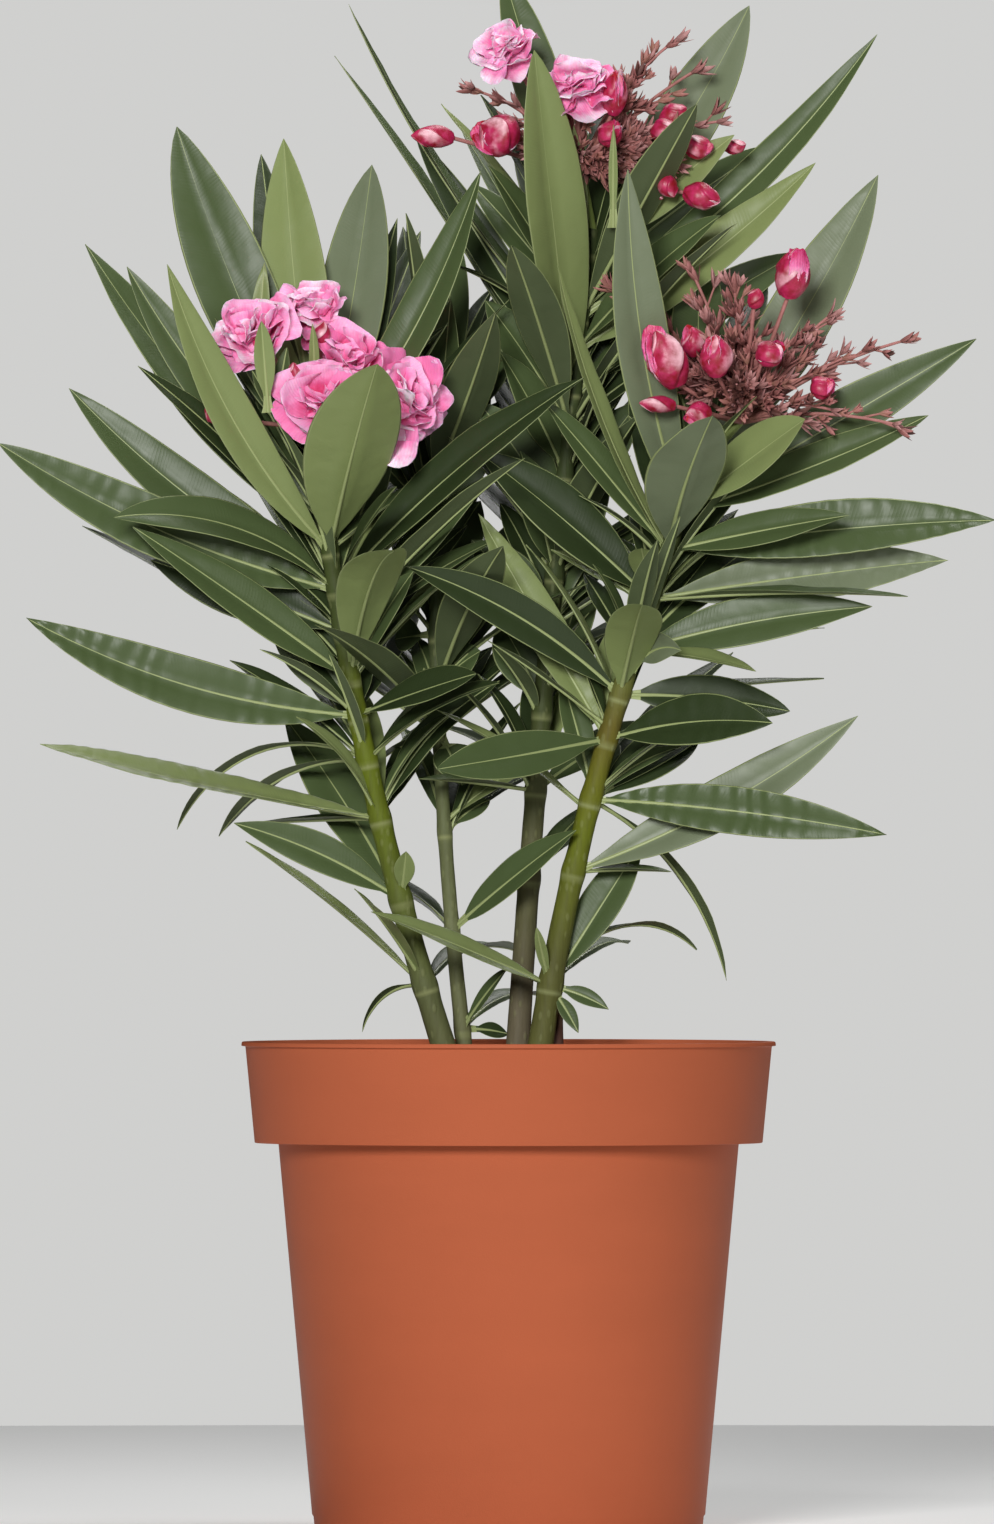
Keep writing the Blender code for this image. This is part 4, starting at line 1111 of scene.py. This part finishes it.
# The buds, each a furled cone. The larger ones are ruffled by a few short petals.
budShape = {
    "lean": -0.35,
    "stations": 16,
    "petals": 6,
    "leastRuffled": 5,
    "values": {
        "Sides": 30,
        "Laps": 3.0,
        "Lap Depth": 0.17,
        "Twist": 2.6,
        "Relief": 1.3,
        "Relief Scale": 170.0,
    },
    "ruffles": {
        "Section Points": 12,
        "Fold": 0.25,
        "Thickness": 0.03,
        "Wave Height": 2.5,
        "Wave Scale": 170.0,
        "Wave Spread": 0.35,
    },
}
# The calyces. outline is half the width at shares of a sepal's length.
sepalShape = {
    "count": 5,
    "length": (4.5, 8.5),
    "width": 2.7,
    "widthWander": (0.75, 1.2),
    "spread": 0.5,
    "spreadWander": (0.5, 1.3),
    "droop": -25,
    "outline": ((0, 0.5), (0.3, 1), (0.6, 0.85), (0.85, 0.45), (1, 0.06)),
    "flowerSepal": 8,
    "budShare": 0.42,
    "values": {"Section Points": 6, "Fold": 0.4, "Thickness": 0.25},
}
# The branches, from each truss's hub to its flowers, buds and sprays, and between those.
twigShape = {
    "seed": 11,
    "stalkRadius": 2.4,
    "radius": 1.1,
    "tipRadius": 0.55,
    "narrowing": 0.8,
    "points": 6,
    "branchPoints": 10,
    "fillers": {"left": 0, "middle": 32, "right": 36},
    "fillerSide": (0.1, 0.9),
    "fillerReach": (0.4, 1.0),
    "rise": (2, 8),
    "sideTwigs": 6,
    "sideTwigLength": (4, 11),
    "sideTwigSpread": 1.0,
    "values": {"Sides": 8},
}
blossomColours = {
    "petalDeep": (0.62, 0.030, 0.15),
    "petal": (0.88, 0.22, 0.48),
    "petalPale": (0.95, 0.47, 0.72),
    "petalEdge": (0.99, 0.75, 0.89),
    "budRed": (0.46, 0.009, 0.020),
    "budPale": (0.92, 0.58, 0.64),
    "calyxDeep": (0.060, 0.021, 0.018),
    "calyx": (0.150, 0.054, 0.042),
    "calyxRose": (0.44, 0.17, 0.16),
    "calyxTip": (0.58, 0.29, 0.28),
    "calyxTan": (0.28, 0.14, 0.09),
    "twig": (0.19, 0.075, 0.050),
    "stalk": (0.20, 0.26, 0.06),
}
# for each tint: its name, its colours near the foot and near the tip, and a petal's roughness
petalLooks = {
    "deep": ("petal_deep", "petalDeep", "petal", 0.55),
    "mid": ("petal_mid", "petalDeep", "petalPale", 0.55),
    "bright": ("petal_bright", "petal", "petalEdge", 0.55),
    "pale": ("petal_pale", "petalPale", "petalEdge", 0.55),
    "under": ("petal_under", "petal", "petalPale", 0.65),
    "margin": ("petal_margin", "petalPale", "petalEdge", 0.65),
}
ruffleLooks = {
    "deep": ("bud_deep", "budRed", "budRed", 0.45),
    "mid": ("bud_mid", "budRed", "petalDeep", 0.45),
    "bright": ("bud_bright", "budPale", "petalDeep", 0.45),
    "pale": ("bud_pale", "petalEdge", "budPale", 0.45),
}
sepalLooks = {
    "deep": ("calyx_deep", "calyxDeep", "calyx"),
    "mid": ("calyx_mid", "calyx", "calyxRose"),
    "bright": ("calyx_rose", "calyx", "calyxTip"),
    "pale": ("calyx_tan", "calyxTan", "calyxRose"),
}
petalGlow = {"Subsurface_Weight": 0.6, "Subsurface_Radius": (0.004, 0.002, 0.003)}


def petalFinish(name, near, far, roughness):
    # deeper towards the petal's foot, partly painted shade in the flower's hollow, and paler to the tip,
    # partly painted highlight; streaked along its length
    c = blossomColours
    finish, tree, shader = newFinish(name, Roughness=roughness, **petalGlow)
    mottle = speckle(tree, objectPlace(tree), 160.0)
    phase = plus(tree, times(tree, attribute(tree, "aside"), 5.0), times(tree, mottle, 9.0))
    streak = calc(tree, "SINE", phase)
    fade = plus(tree, attribute(tree, "reach"), times(tree, minus(tree, mottle, 0.5), 0.9))
    colour = blended(tree, ranged(tree, fade, 0.20, 0.66), c[near], c["petal"])
    colour = blended(tree, ranged(tree, fade, 0.60, 0.98), colour, c[far])
    colour = blended(tree, ranged(tree, streak, 0.2, 1.0, 0.0, 0.07), colour, c["petalDeep"])
    coloured(tree, shader, colour)
    bumped(tree, shader, streak, 0.03)
    return finish


def budFinish():
    # deep red, with pale patches along the edges of the laps
    c = blossomColours
    finish, tree, shader = newFinish("bud_furled", Roughness=0.42)
    place = objectPlace(tree)
    mottle, patch = speckle(tree, place, 260.0), speckle(tree, place, 70.0)
    stripe = plus(tree, attribute(tree, "lap"), times(tree, minus(tree, mottle, 0.5), 0.8))
    reach = ranged(tree, attribute(tree, "reach"), 0.10, 0.55)
    pale = times(tree, ranged(tree, stripe, 0.35, 1.0), reach, ranged(tree, patch, 0.47, 0.58))
    body = blended(tree, ranged(tree, mottle, 0.3, 0.8), shade(c["budRed"], 0.6), c["petalDeep"])
    coloured(tree, shader, blended(tree, pale, body, c["budPale"]))
    bumped(tree, shader, stripe, 0.3)
    return finish


def twigFinish(name, near, far):
    finish, tree, shader = newFinish(name, Roughness=0.6)
    mottle = speckle(tree, objectPlace(tree), 330.0, 4.0)
    fade = ranged(tree, plus(tree, times(tree, attribute(tree, "reach"), 0.5), mottle), 0.4, 1.1)
    coloured(tree, shader, blended(tree, fade, blossomColours[near], blossomColours[far]))
    bumped(tree, shader, mottle, 0.3)
    return finish


def along(start, end, count, rise=0.0):
    # points from start to end that bow upwards by rise in the middle
    shares = [k / (count - 1) for k in range(count)]
    return [start.lerp(end, share) + up * rise * math.sin(math.pi * share) for share in shares]


def tapered(first, last, count):
    return [first + (last - first) * k / (count - 1) for k in range(count)]


def rodStrand(points, girths):
    return Strand(points, girths, {"reach": [k / (len(points) - 1) for k in range(len(points))]})


def twigStrand(start, end, radius, tipRadius):
    count = twigShape["points"]
    return rodStrand(along(start, end, count), tapered(radius, tipRadius, count))


def budStrand(start, axis, length, radius):
    count = budShape["stations"]
    shares = [k / (count - 1) for k in range(count)]
    girths = [radius * max(0.02, math.sin(math.pi * (0.12 + 0.88 * s))) ** 0.7 for s in shares]
    return rodStrand([start + axis * length * s for s in shares], girths)


def anyWay(rng, axis, spread):
    # a direction at chance, no more than spread off the axis
    side = Vector((rng.gauss(0, 1), rng.gauss(0, 1), rng.gauss(0, 1)))
    side = (side - axis * side.dot(axis)).normalized()
    return (axis + side * rng.uniform(0, spread)).normalized()


def sepalStrands(rng, foot, axis, length, spread):
    s = sepalShape
    turn = up.rotation_difference(axis)
    strands, tint = [], rng.choice(tints)
    for k in range(s["count"]):
        out = turn @ heading(math.tau * k / s["count"] + rng.uniform(-0.3, 0.3), 0)
        tip = foot + axis * length + out * length * spread * rng.uniform(*s["spreadWander"])
        sepal = Leaf(*tip, s["width"] * rng.uniform(*s["widthWander"]), s["droop"], 1.0, tint)
        shares = [share for share, _ in s["outline"]]
        girths = [sepal.width / 2 * half for _, half in s["outline"]]
        strands.append(bladeStrand(foot + out * 0.5, sepal, shares, girths, facing=-out))
    return strands


def calyxStrands(rng, end, way):
    length = rng.uniform(*sepalShape["length"])
    return sepalStrands(rng, end - way * 1.5, way, length, sepalShape["spread"])


def petalStrand(start, petal, axis, twist=0.0):
    s = petalShape
    shares = [k / (s["stations"] - 1) for k in range(s["stations"])]
    halves = [petal.width / 2 * bladeShare(0.05 + 0.94 * share, *s["fullness"]) for share in shares]
    girths = [max(s["footWidth"], half) for half in halves]
    return bladeStrand(start, petal, shares, girths, twist=twist, facing=axis)


def petalStrands(rng, heart, axis, radius, shades):
    s = petalShape
    turn = up.rotation_difference(axis)
    strands = []
    for count, size, tilt, offset in s["whorls"]:
        for k in range(count):
            around = math.radians(offset + 360 * k / count + rng.uniform(*s["turnWander"]))
            way = turn @ heading(around, math.radians(tilt + rng.uniform(*s["riseWander"])))
            way *= radius * size * rng.uniform(0.8, 1.0)
            width = radius * s["width"] * size**0.6 * rng.uniform(0.85, 1.15)
            petal = Leaf(*(heart + way), width, rng.uniform(*s["droop"]), s["show"], rng.choice(shades))
            strands.append(petalStrand(heart + way * 0.06, petal, axis, rng.uniform(*s["twist"])))
    return strands


def ruffleStrands(rng, start, axis, length, radius):
    # short petals that hug the bud, their tips a little apart
    count = budShape["petals"]
    turn = up.rotation_difference(axis)
    strands = []
    for k in range(count):
        out = turn @ heading(math.tau * k / count + rng.uniform(-0.4, 0.4), 0)
        tip = start + axis * length * rng.uniform(0.75, 1.05) + out * radius * rng.uniform(0.1, 0.6)
        foot = start + axis * length * 0.08 + out * radius * 0.55
        petal = Leaf(*tip, radius * rng.uniform(1.0, 1.5), rng.uniform(-90, -60), 1.0, rng.choice(tints))
        strands.append(petalStrand(foot, petal, -out, rng.uniform(-0.5, 0.5)))
    return strands


# Each part of a truss gives its strands as twigs, sepals, petals, furled buds and ruffles.


def bloomParts(rng, hub, bloom):
    t = twigShape
    centre = Vector(bloom[:3])
    axis = ((centre - hub).normalized() + front).normalized()
    heart = centre - axis * bloom.radius * 0.15
    twig = twigStrand(hub, heart - axis * 3, t["radius"] * 1.2, t["radius"])
    sepals = sepalStrands(rng, heart - axis * 6, axis, sepalShape["flowerSepal"], sepalShape["spread"])
    return [twig], sepals, petalStrands(rng, heart, axis, bloom.radius, bloom.shades.split()), [], []


def budParts(rng, hub, bud):
    t, length, radius = twigShape, bud.length, bud.radius
    angle = math.radians(bud.slant)
    axis = Vector((math.cos(angle), budShape["lean"], math.sin(angle))).normalized()
    start = Vector(bud[:3])
    twig = twigStrand(hub, start + axis, t["radius"], t["radius"] * t["narrowing"])
    ruffled = radius >= budShape["leastRuffled"]
    ruffles = ruffleStrands(rng, start, axis, length, radius) if ruffled else []
    sepals = sepalStrands(rng, start - axis, axis, length * sepalShape["budShare"], 0.75 * radius / length)
    return [twig], sepals, [], [budStrand(start, axis, length, radius)], ruffles


def sprayParts(rng, hub, tip):
    # a branch with short side twigs, and a calyx at each end
    t = twigShape
    count = t["branchPoints"]
    branch = along(hub, tip, count, rng.uniform(*t["rise"]))
    twigs = [rodStrand(branch, tapered(t["radius"], t["tipRadius"], count))]
    sepals = calyxStrands(rng, tip, (branch[-1] - branch[-2]).normalized())
    for k in range(t["sideTwigs"]):
        spot = 4 + 5 * k // t["sideTwigs"]
        start = branch[spot]
        way = anyWay(rng, (branch[spot + 1] - start).normalized(), t["sideTwigSpread"])
        end = start + way * rng.uniform(*t["sideTwigLength"])
        twigs.append(twigStrand(start, end, t["tipRadius"], t["tipRadius"] * t["narrowing"]))
        sepals += calyxStrands(rng, end, way)
    return twigs, sepals, [], [], []


def fillerTips(rng, hub, truss, count):
    # more sprays end at chance between the listed ones
    ends = [Vector(spray) for spray in truss.sprays] + [Vector(bud[:3]) for bud in truss.buds]
    tips = []
    for _ in range(count):
        one, other = rng.sample(ends, 2)
        middle = one.lerp(other, rng.uniform(*twigShape["fillerSide"]))
        tips.append(hub.lerp(middle, rng.uniform(*twigShape["fillerReach"])))
    return tips


def trussParts(name, truss):
    rng, hub = random.Random(twigShape["seed"]), Vector(truss.hub)
    parts = [bloomParts(rng, hub, bloom) for bloom in truss.blooms]
    loose = [petalStrand(Vector(start), Leaf(*petal), front) for start, petal in loosePetals.get(name, [])]
    parts.append(([], [], loose, [], []))
    parts += [budParts(rng, hub, bud) for bud in truss.buds]
    tips = [Vector(spray) for spray in truss.sprays]
    tips += fillerTips(rng, hub, truss, twigShape["fillers"][name])
    parts += [sprayParts(rng, hub, tip) for tip in tips]
    return [[strand for strands in kind for strand in strands] for kind in zip(*parts)]


def growTrusses():
    t = twigShape
    petals = {tint: petalFinish(*look) for tint, look in petalLooks.items()}
    skins = {tint: petalFinish(*look) for tint, look in ruffleLooks.items()}
    skins["under"] = skins["margin"] = skins["deep"]
    sepals = {tint: twigFinish(*look) for tint, look in sepalLooks.items()}
    sepals["under"] = sepals["margin"] = sepals["mid"]
    stalkValues = {**t["values"], "finish": twigFinish("stalk", "stalk", "stalk")}
    twigValues = {**t["values"], "finish": twigFinish("twig", "twig", "calyxRose")}
    budValues = {**budShape["values"], "finish": budFinish()}
    for name, truss in trusses.items():
        foot = Vector(stems[name].top) - up * 2
        stalk = twigStrand(foot, Vector(truss.hub) + up, t["stalkRadius"], t["stalkRadius"] * t["narrowing"])
        twigs, cups, flowers, furled, ruffles = trussParts(name, truss)
        pieces = {
            "stalk": ([stalk], rodTree, stalkValues),
            "twigs": (twigs, rodTree, twigValues),
            "calyces": (cups, petalTree, {**sepalShape["values"], **sepals}),
            "petals": (flowers, petalTree, {**petalShape["values"], **petals}),
            "budPetals": (ruffles, petalTree, {**budShape["ruffles"], **skins}),
            "buds": (furled, rodTree, budValues),
        }
        for part, (strands, tree, values) in pieces.items():
            if strands:
                piece = grown(f"{part}_{name}", strandMesh(f"{part}Lines", strands), tree, values)
                pieceReady(piece, "blossom_pink", f"truss_{name}")


growStems()
plan = planLeaves()
print("leaves placed:", {name: len(leaves) for name, leaves in plan.items()})
growLeaves(plan)
growTrusses()

# The pot: a moulded tub with a deep band round its mouth and drain holes in its floor.
pot = {
    "height": 210.0,
    "baseRadius": 84.0,
    "wall": 2.0,
    "floor": 3.0,
    "bodyTopRadius": 99.0,
    "bandBottom": 166.5,
    "bandBottomRadius": 109.2,
    "bandTopRadius": 113.2,
    "lipRadius": 115.0,
    "lipHeight": 2.0,
    "footHeight": 6.0,
    "footStep": 0.6,
    "drainHoles": 8,
    "drainRadius": 5.0,
    "drainCircle": 66.0,
    "sides": 160,
    "edgeRound": 0.35,
    "colour": (0.415, 0.104, 0.046),
    "colourSpread": 0.04,
    "roughness": (0.44, 0.54),
    "specular": 0.06,
    "grainScale": 1400.0,
    "grainDepth": 0.06,
}


def potFinish():
    # moulded plastic: a faint cloud and flow lines in the colour and gloss, over a fine grain
    p = pot
    finish, tree, shader = newFinish("terracotta_plastic", Specular_IOR_Level=p["specular"])
    place = objectPlace(tree)
    cloud = speckle(tree, place, 9.0, 4.0)
    flow = speckle(tree, stretched(tree, place, (1, 1, 5)), 9.0, 2.0)
    tone = ranged(tree, plus(tree, times(tree, cloud, 0.6), times(tree, flow, 0.4)), 0.35, 0.65)
    low, high = (shade(p["colour"], 1 + p["colourSpread"] * side) for side in (-1, 1))
    coloured(tree, shader, blended(tree, tone, low, high))
    tree.links.new(ranged(tree, cloud, 0.3, 0.7, *p["roughness"]), shader.inputs["Roughness"])
    grain = plus(tree, speckle(tree, place, p["grainScale"], 2.0), times(tree, flow, 0.8))
    bumped(tree, shader, grain, p["grainDepth"])
    return finish


def meshObject(name, work, finish):
    # the faces go in a fixed order, so that whatever is made from them is the same every time
    work.verts.index_update()
    faces = []
    for face in work.faces:
        corners = [vert.index for vert in face.verts]
        first = corners.index(min(corners))
        faces.append(corners[first:] + corners[:first])
    mesh = bpy.data.meshes.new(name)
    mesh.from_pydata([vert.co for vert in work.verts], [], sorted(faces))
    work.free()
    mesh.materials.append(finish)
    return newObject(name, mesh)


def turned(profile, sides):
    work = bmesh.new()
    points = [work.verts.new((radius * mm, 0, height * mm)) for radius, height in profile]
    edges = [work.edges.new(ends) for ends in zip(points, points[1:])]
    bmesh.ops.spin(work, geom=points + edges, axis=up, steps=sides, angle=math.tau)
    bmesh.ops.remove_doubles(work, verts=work.verts, dist=1e-6)
    bmesh.ops.recalc_face_normals(work, faces=work.faces)
    return work


def tubProfile():
    p = pot
    share = p["footHeight"] / p["bandBottom"]
    footRadius = p["baseRadius"] + (p["bodyTopRadius"] - p["baseRadius"]) * share
    lipBottom = p["height"] - p["lipHeight"]
    shelf = p["bandBottom"] + p["wall"]
    return [
        (0, 0),
        (p["baseRadius"] - 2, 0),
        (p["baseRadius"] - p["footStep"], 1.2),
        (footRadius - p["footStep"], p["footHeight"]),
        (footRadius, p["footHeight"] + 0.8),
        (p["bodyTopRadius"], p["bandBottom"]),
        (p["bandBottomRadius"], p["bandBottom"]),
        (p["bandTopRadius"], lipBottom),
        (p["lipRadius"], lipBottom + 0.2),
        (p["lipRadius"] - 0.3, p["height"]),
        (p["bandTopRadius"] - p["wall"], p["height"]),
        (p["bandBottomRadius"] - p["wall"], shelf),
        (p["bodyTopRadius"] - p["wall"], shelf),
        (p["baseRadius"] - p["wall"], p["floor"]),
        (0, p["floor"]),
    ]


def makePot():
    p = pot
    piece = meshObject("pot_tub", turned(tubProfile(), p["sides"]), potFinish())
    work = bmesh.new()
    radius, depth = p["drainRadius"] * mm, p["floor"] * 4 * mm
    for k in range(p["drainHoles"]):
        spot = heading(math.tau * (k + 0.5) / p["drainHoles"], 0) * p["drainCircle"] * mm
        bmesh.ops.create_cone(work, cap_ends=True, segments=24, radius1=radius, radius2=radius,
                              depth=depth, matrix=Matrix.Translation(spot))
    drains = meshObject("drains", work, piece.data.materials[0])
    cut = piece.modifiers.new("drains", "BOOLEAN")
    cut.object, cut.operation, cut.solver = drains, "DIFFERENCE", "EXACT"
    rounding = piece.modifiers.new("rounding", "BEVEL")
    rounding.width, rounding.segments, rounding.limit_method = p["edgeRound"] * mm, 2, "ANGLE"
    rounding.angle_limit = math.radians(35)
    mesh = evaluatedMesh(piece)
    piece.modifiers.clear()
    piece.data = mesh
    bpy.data.objects.remove(drains)
    mesh.shade_smooth()
    mesh.set_sharp_from_angle(angle=math.radians(40))
    pieceReady(piece, "terracotta_plastic", "pot")


# The compost: a crumbly bed of peat with bark chips and a little perlite.
compost = {
    "edgeDrop": 7.0,
    "edgeWidth": 22.0,
    "rings": 60,
    "sides": 140,
    "roughness": 1.6,
    "roughScale": 0.07,
    "peat": {"Density": 120000.0, "Smallest": 0.9, "Largest": 3.4, "Flatness": 0.75, "Seed": 3},
    "chips": {"Density": 9000.0, "Smallest": 3.0, "Largest": 7.5, "Flatness": 0.35, "Seed": 8},
    "perlite": {"Density": 1500.0, "Smallest": 1.2, "Largest": 2.8, "Flatness": 0.85, "Seed": 21},
}
crumbColours = {
    "peat": ((0.022, 0.013, 0.008), (0.065, 0.036, 0.020)),
    "chips": ((0.060, 0.030, 0.015), (0.150, 0.078, 0.038)),
    "perlite": ((0.50, 0.48, 0.43), (0.70, 0.68, 0.62)),
}


def crumbFinish(kind):
    finish, tree, shader = newFinish(kind, Roughness=0.95)
    place = objectPlace(tree)
    fine, coarse = speckle(tree, place, 900.0, 4.0), speckle(tree, place, 120.0)
    tone = ranged(tree, times(tree, plus(tree, fine, coarse), 0.5), 0.35, 0.65)
    coloured(tree, shader, blended(tree, tone, *crumbColours[kind]))
    bumped(tree, shader, fine, 0.5)
    return finish


def bedProfile(shelf):
    c = compost
    clear = pot["wall"] + 1.5 * growth["gap"]
    edge = pot["bandBottomRadius"] - clear
    floor = pot["floor"] + growth["gap"]
    profile = [
        (0, floor),
        (pot["baseRadius"] - clear, floor),
        (pot["bodyTopRadius"] - clear, shelf),
        (edge, shelf),
    ]
    for k in range(c["rings"] + 1):
        radius = edge * (1 - k / c["rings"])
        sunk = max(0.0, 1 - (edge - radius) / c["edgeWidth"]) ** 2
        profile.append((radius, compostTop - c["edgeDrop"] * sunk))
    return profile


def bedTop(bed, level):
    # the faces that the crumbs lie on
    lids = [face.vertices for face in bed.polygons if face.normal.z >= 0.5 and face.center.z >= level]
    mesh = bpy.data.meshes.new("compost_top")
    mesh.from_pydata([vert.co for vert in bed.vertices], [], lids)
    return mesh


def makeCompost():
    c = compost
    shelf = pot["bandBottom"] + pot["wall"] + growth["gap"]
    work = turned(bedProfile(shelf), c["sides"])
    for vert in work.verts:
        if vert.co.z > shelf * mm + 1e-4:
            spot = vert.co / mm * c["roughScale"]
            vert.co.z += (noise.noise(spot) - 0.35) * c["roughness"] * mm
    finishes = {kind: crumbFinish(kind) for kind in crumbColours}
    piece = meshObject("compost_bed", work, finishes["peat"])
    piece.data.shade_smooth()
    top = bedTop(piece.data, shelf * mm)
    pieceReady(piece, "peat_compost", "compost")
    for kind, finish in finishes.items():
        crumbs = grown(f"compost_{kind}", top.copy(), crumbTree, {**c[kind], "finish": finish})
        pieceReady(crumbs, "peat_compost", "compost")


makePot()
makeCompost()

# The studio: a pale floor, soft lights and a level camera far in front.
studio = {
    "floorRadius": 1.9,
    "floorColour": (0.92, 0.92, 0.91),
    "backdropColour": (0.63, 0.63, 0.62),
    "backdropStrength": 1.0,
    "ambientStrength": 0.04,
    "lights": [  # name, place in metres, size in metres, watts
        ("key", (-1.3, -7.2, 2.35), 1.8, 500.0),
        ("fill", (3.1, -6.7, 1.6), 2.4, 70.0),
        ("backLight", (1.4, 4.0, 3.6), 1.8, 50.0),
        ("crownLight", (0.4, 0.3, 2.1), 0.9, 20.0),
    ],
    "aim": (0, 0, 0.38),
    "cameraDistance": 12.0,
    "cameraHeight": 0.3302,
    "cameraSide": -0.005,
    "frameHeight": 0.6553,
    "sensor": 36.0,
}


def makeFloor():
    fixed = {"Base_Color": (*studio["floorColour"], 1), "Roughness": 0.9}
    finish, _, _ = newFinish("studio_floor", **fixed)
    work = bmesh.new()
    bmesh.ops.create_circle(work, cap_ends=True, segments=96, radius=studio["floorRadius"])
    meshObject("floor", work, finish)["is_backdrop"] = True


def makeBackdrop():
    s = studio
    world = bpy.data.worlds.new("studio")
    bpy.context.scene.world = world
    world.use_nodes = True
    tree = world.node_tree
    seen = addNode(tree, "ShaderNodeLightPath").outputs["Is Camera Ray"]
    strength = ranged(tree, seen, 0.0, 1.0, s["ambientStrength"], s["backdropStrength"])
    shader = tree.nodes["Background"]
    shader.inputs["Color"].default_value = (*s["backdropColour"], 1)
    tree.links.new(strength, shader.inputs["Strength"])


def makeLights():
    for name, place, size, watts in studio["lights"]:
        lamp = bpy.data.lights.new(name, "AREA")
        lamp.size, lamp.energy = size, watts
        light = newObject(name, lamp)
        light.location = place
        aim = Vector(studio["aim"]) - light.location
        light.rotation_euler = aim.to_track_quat("-Z", "Y").to_euler()


def makeCamera():
    s = studio
    camera = newObject("camera", bpy.data.cameras.new("camera"))
    camera.location = (s["cameraSide"], -s["cameraDistance"], s["cameraHeight"])
    camera.rotation_euler = (math.radians(90), 0, 0)
    camera.data.sensor_width = s["sensor"]
    camera.data.lens = s["sensor"] * s["cameraDistance"] / s["frameHeight"]
    camera.data.clip_end = 100.0
    bpy.context.scene.camera = camera
    bpy.context.scene.view_settings.view_transform = "Standard"


makeFloor()
makeBackdrop()
makeLights()
makeCamera()
print("studio ready")

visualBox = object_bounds()
boxes = {"cad": cadBox, "visual": visualBox}
{label: [list(corner) for corner in box] for label, box in boxes.items()}
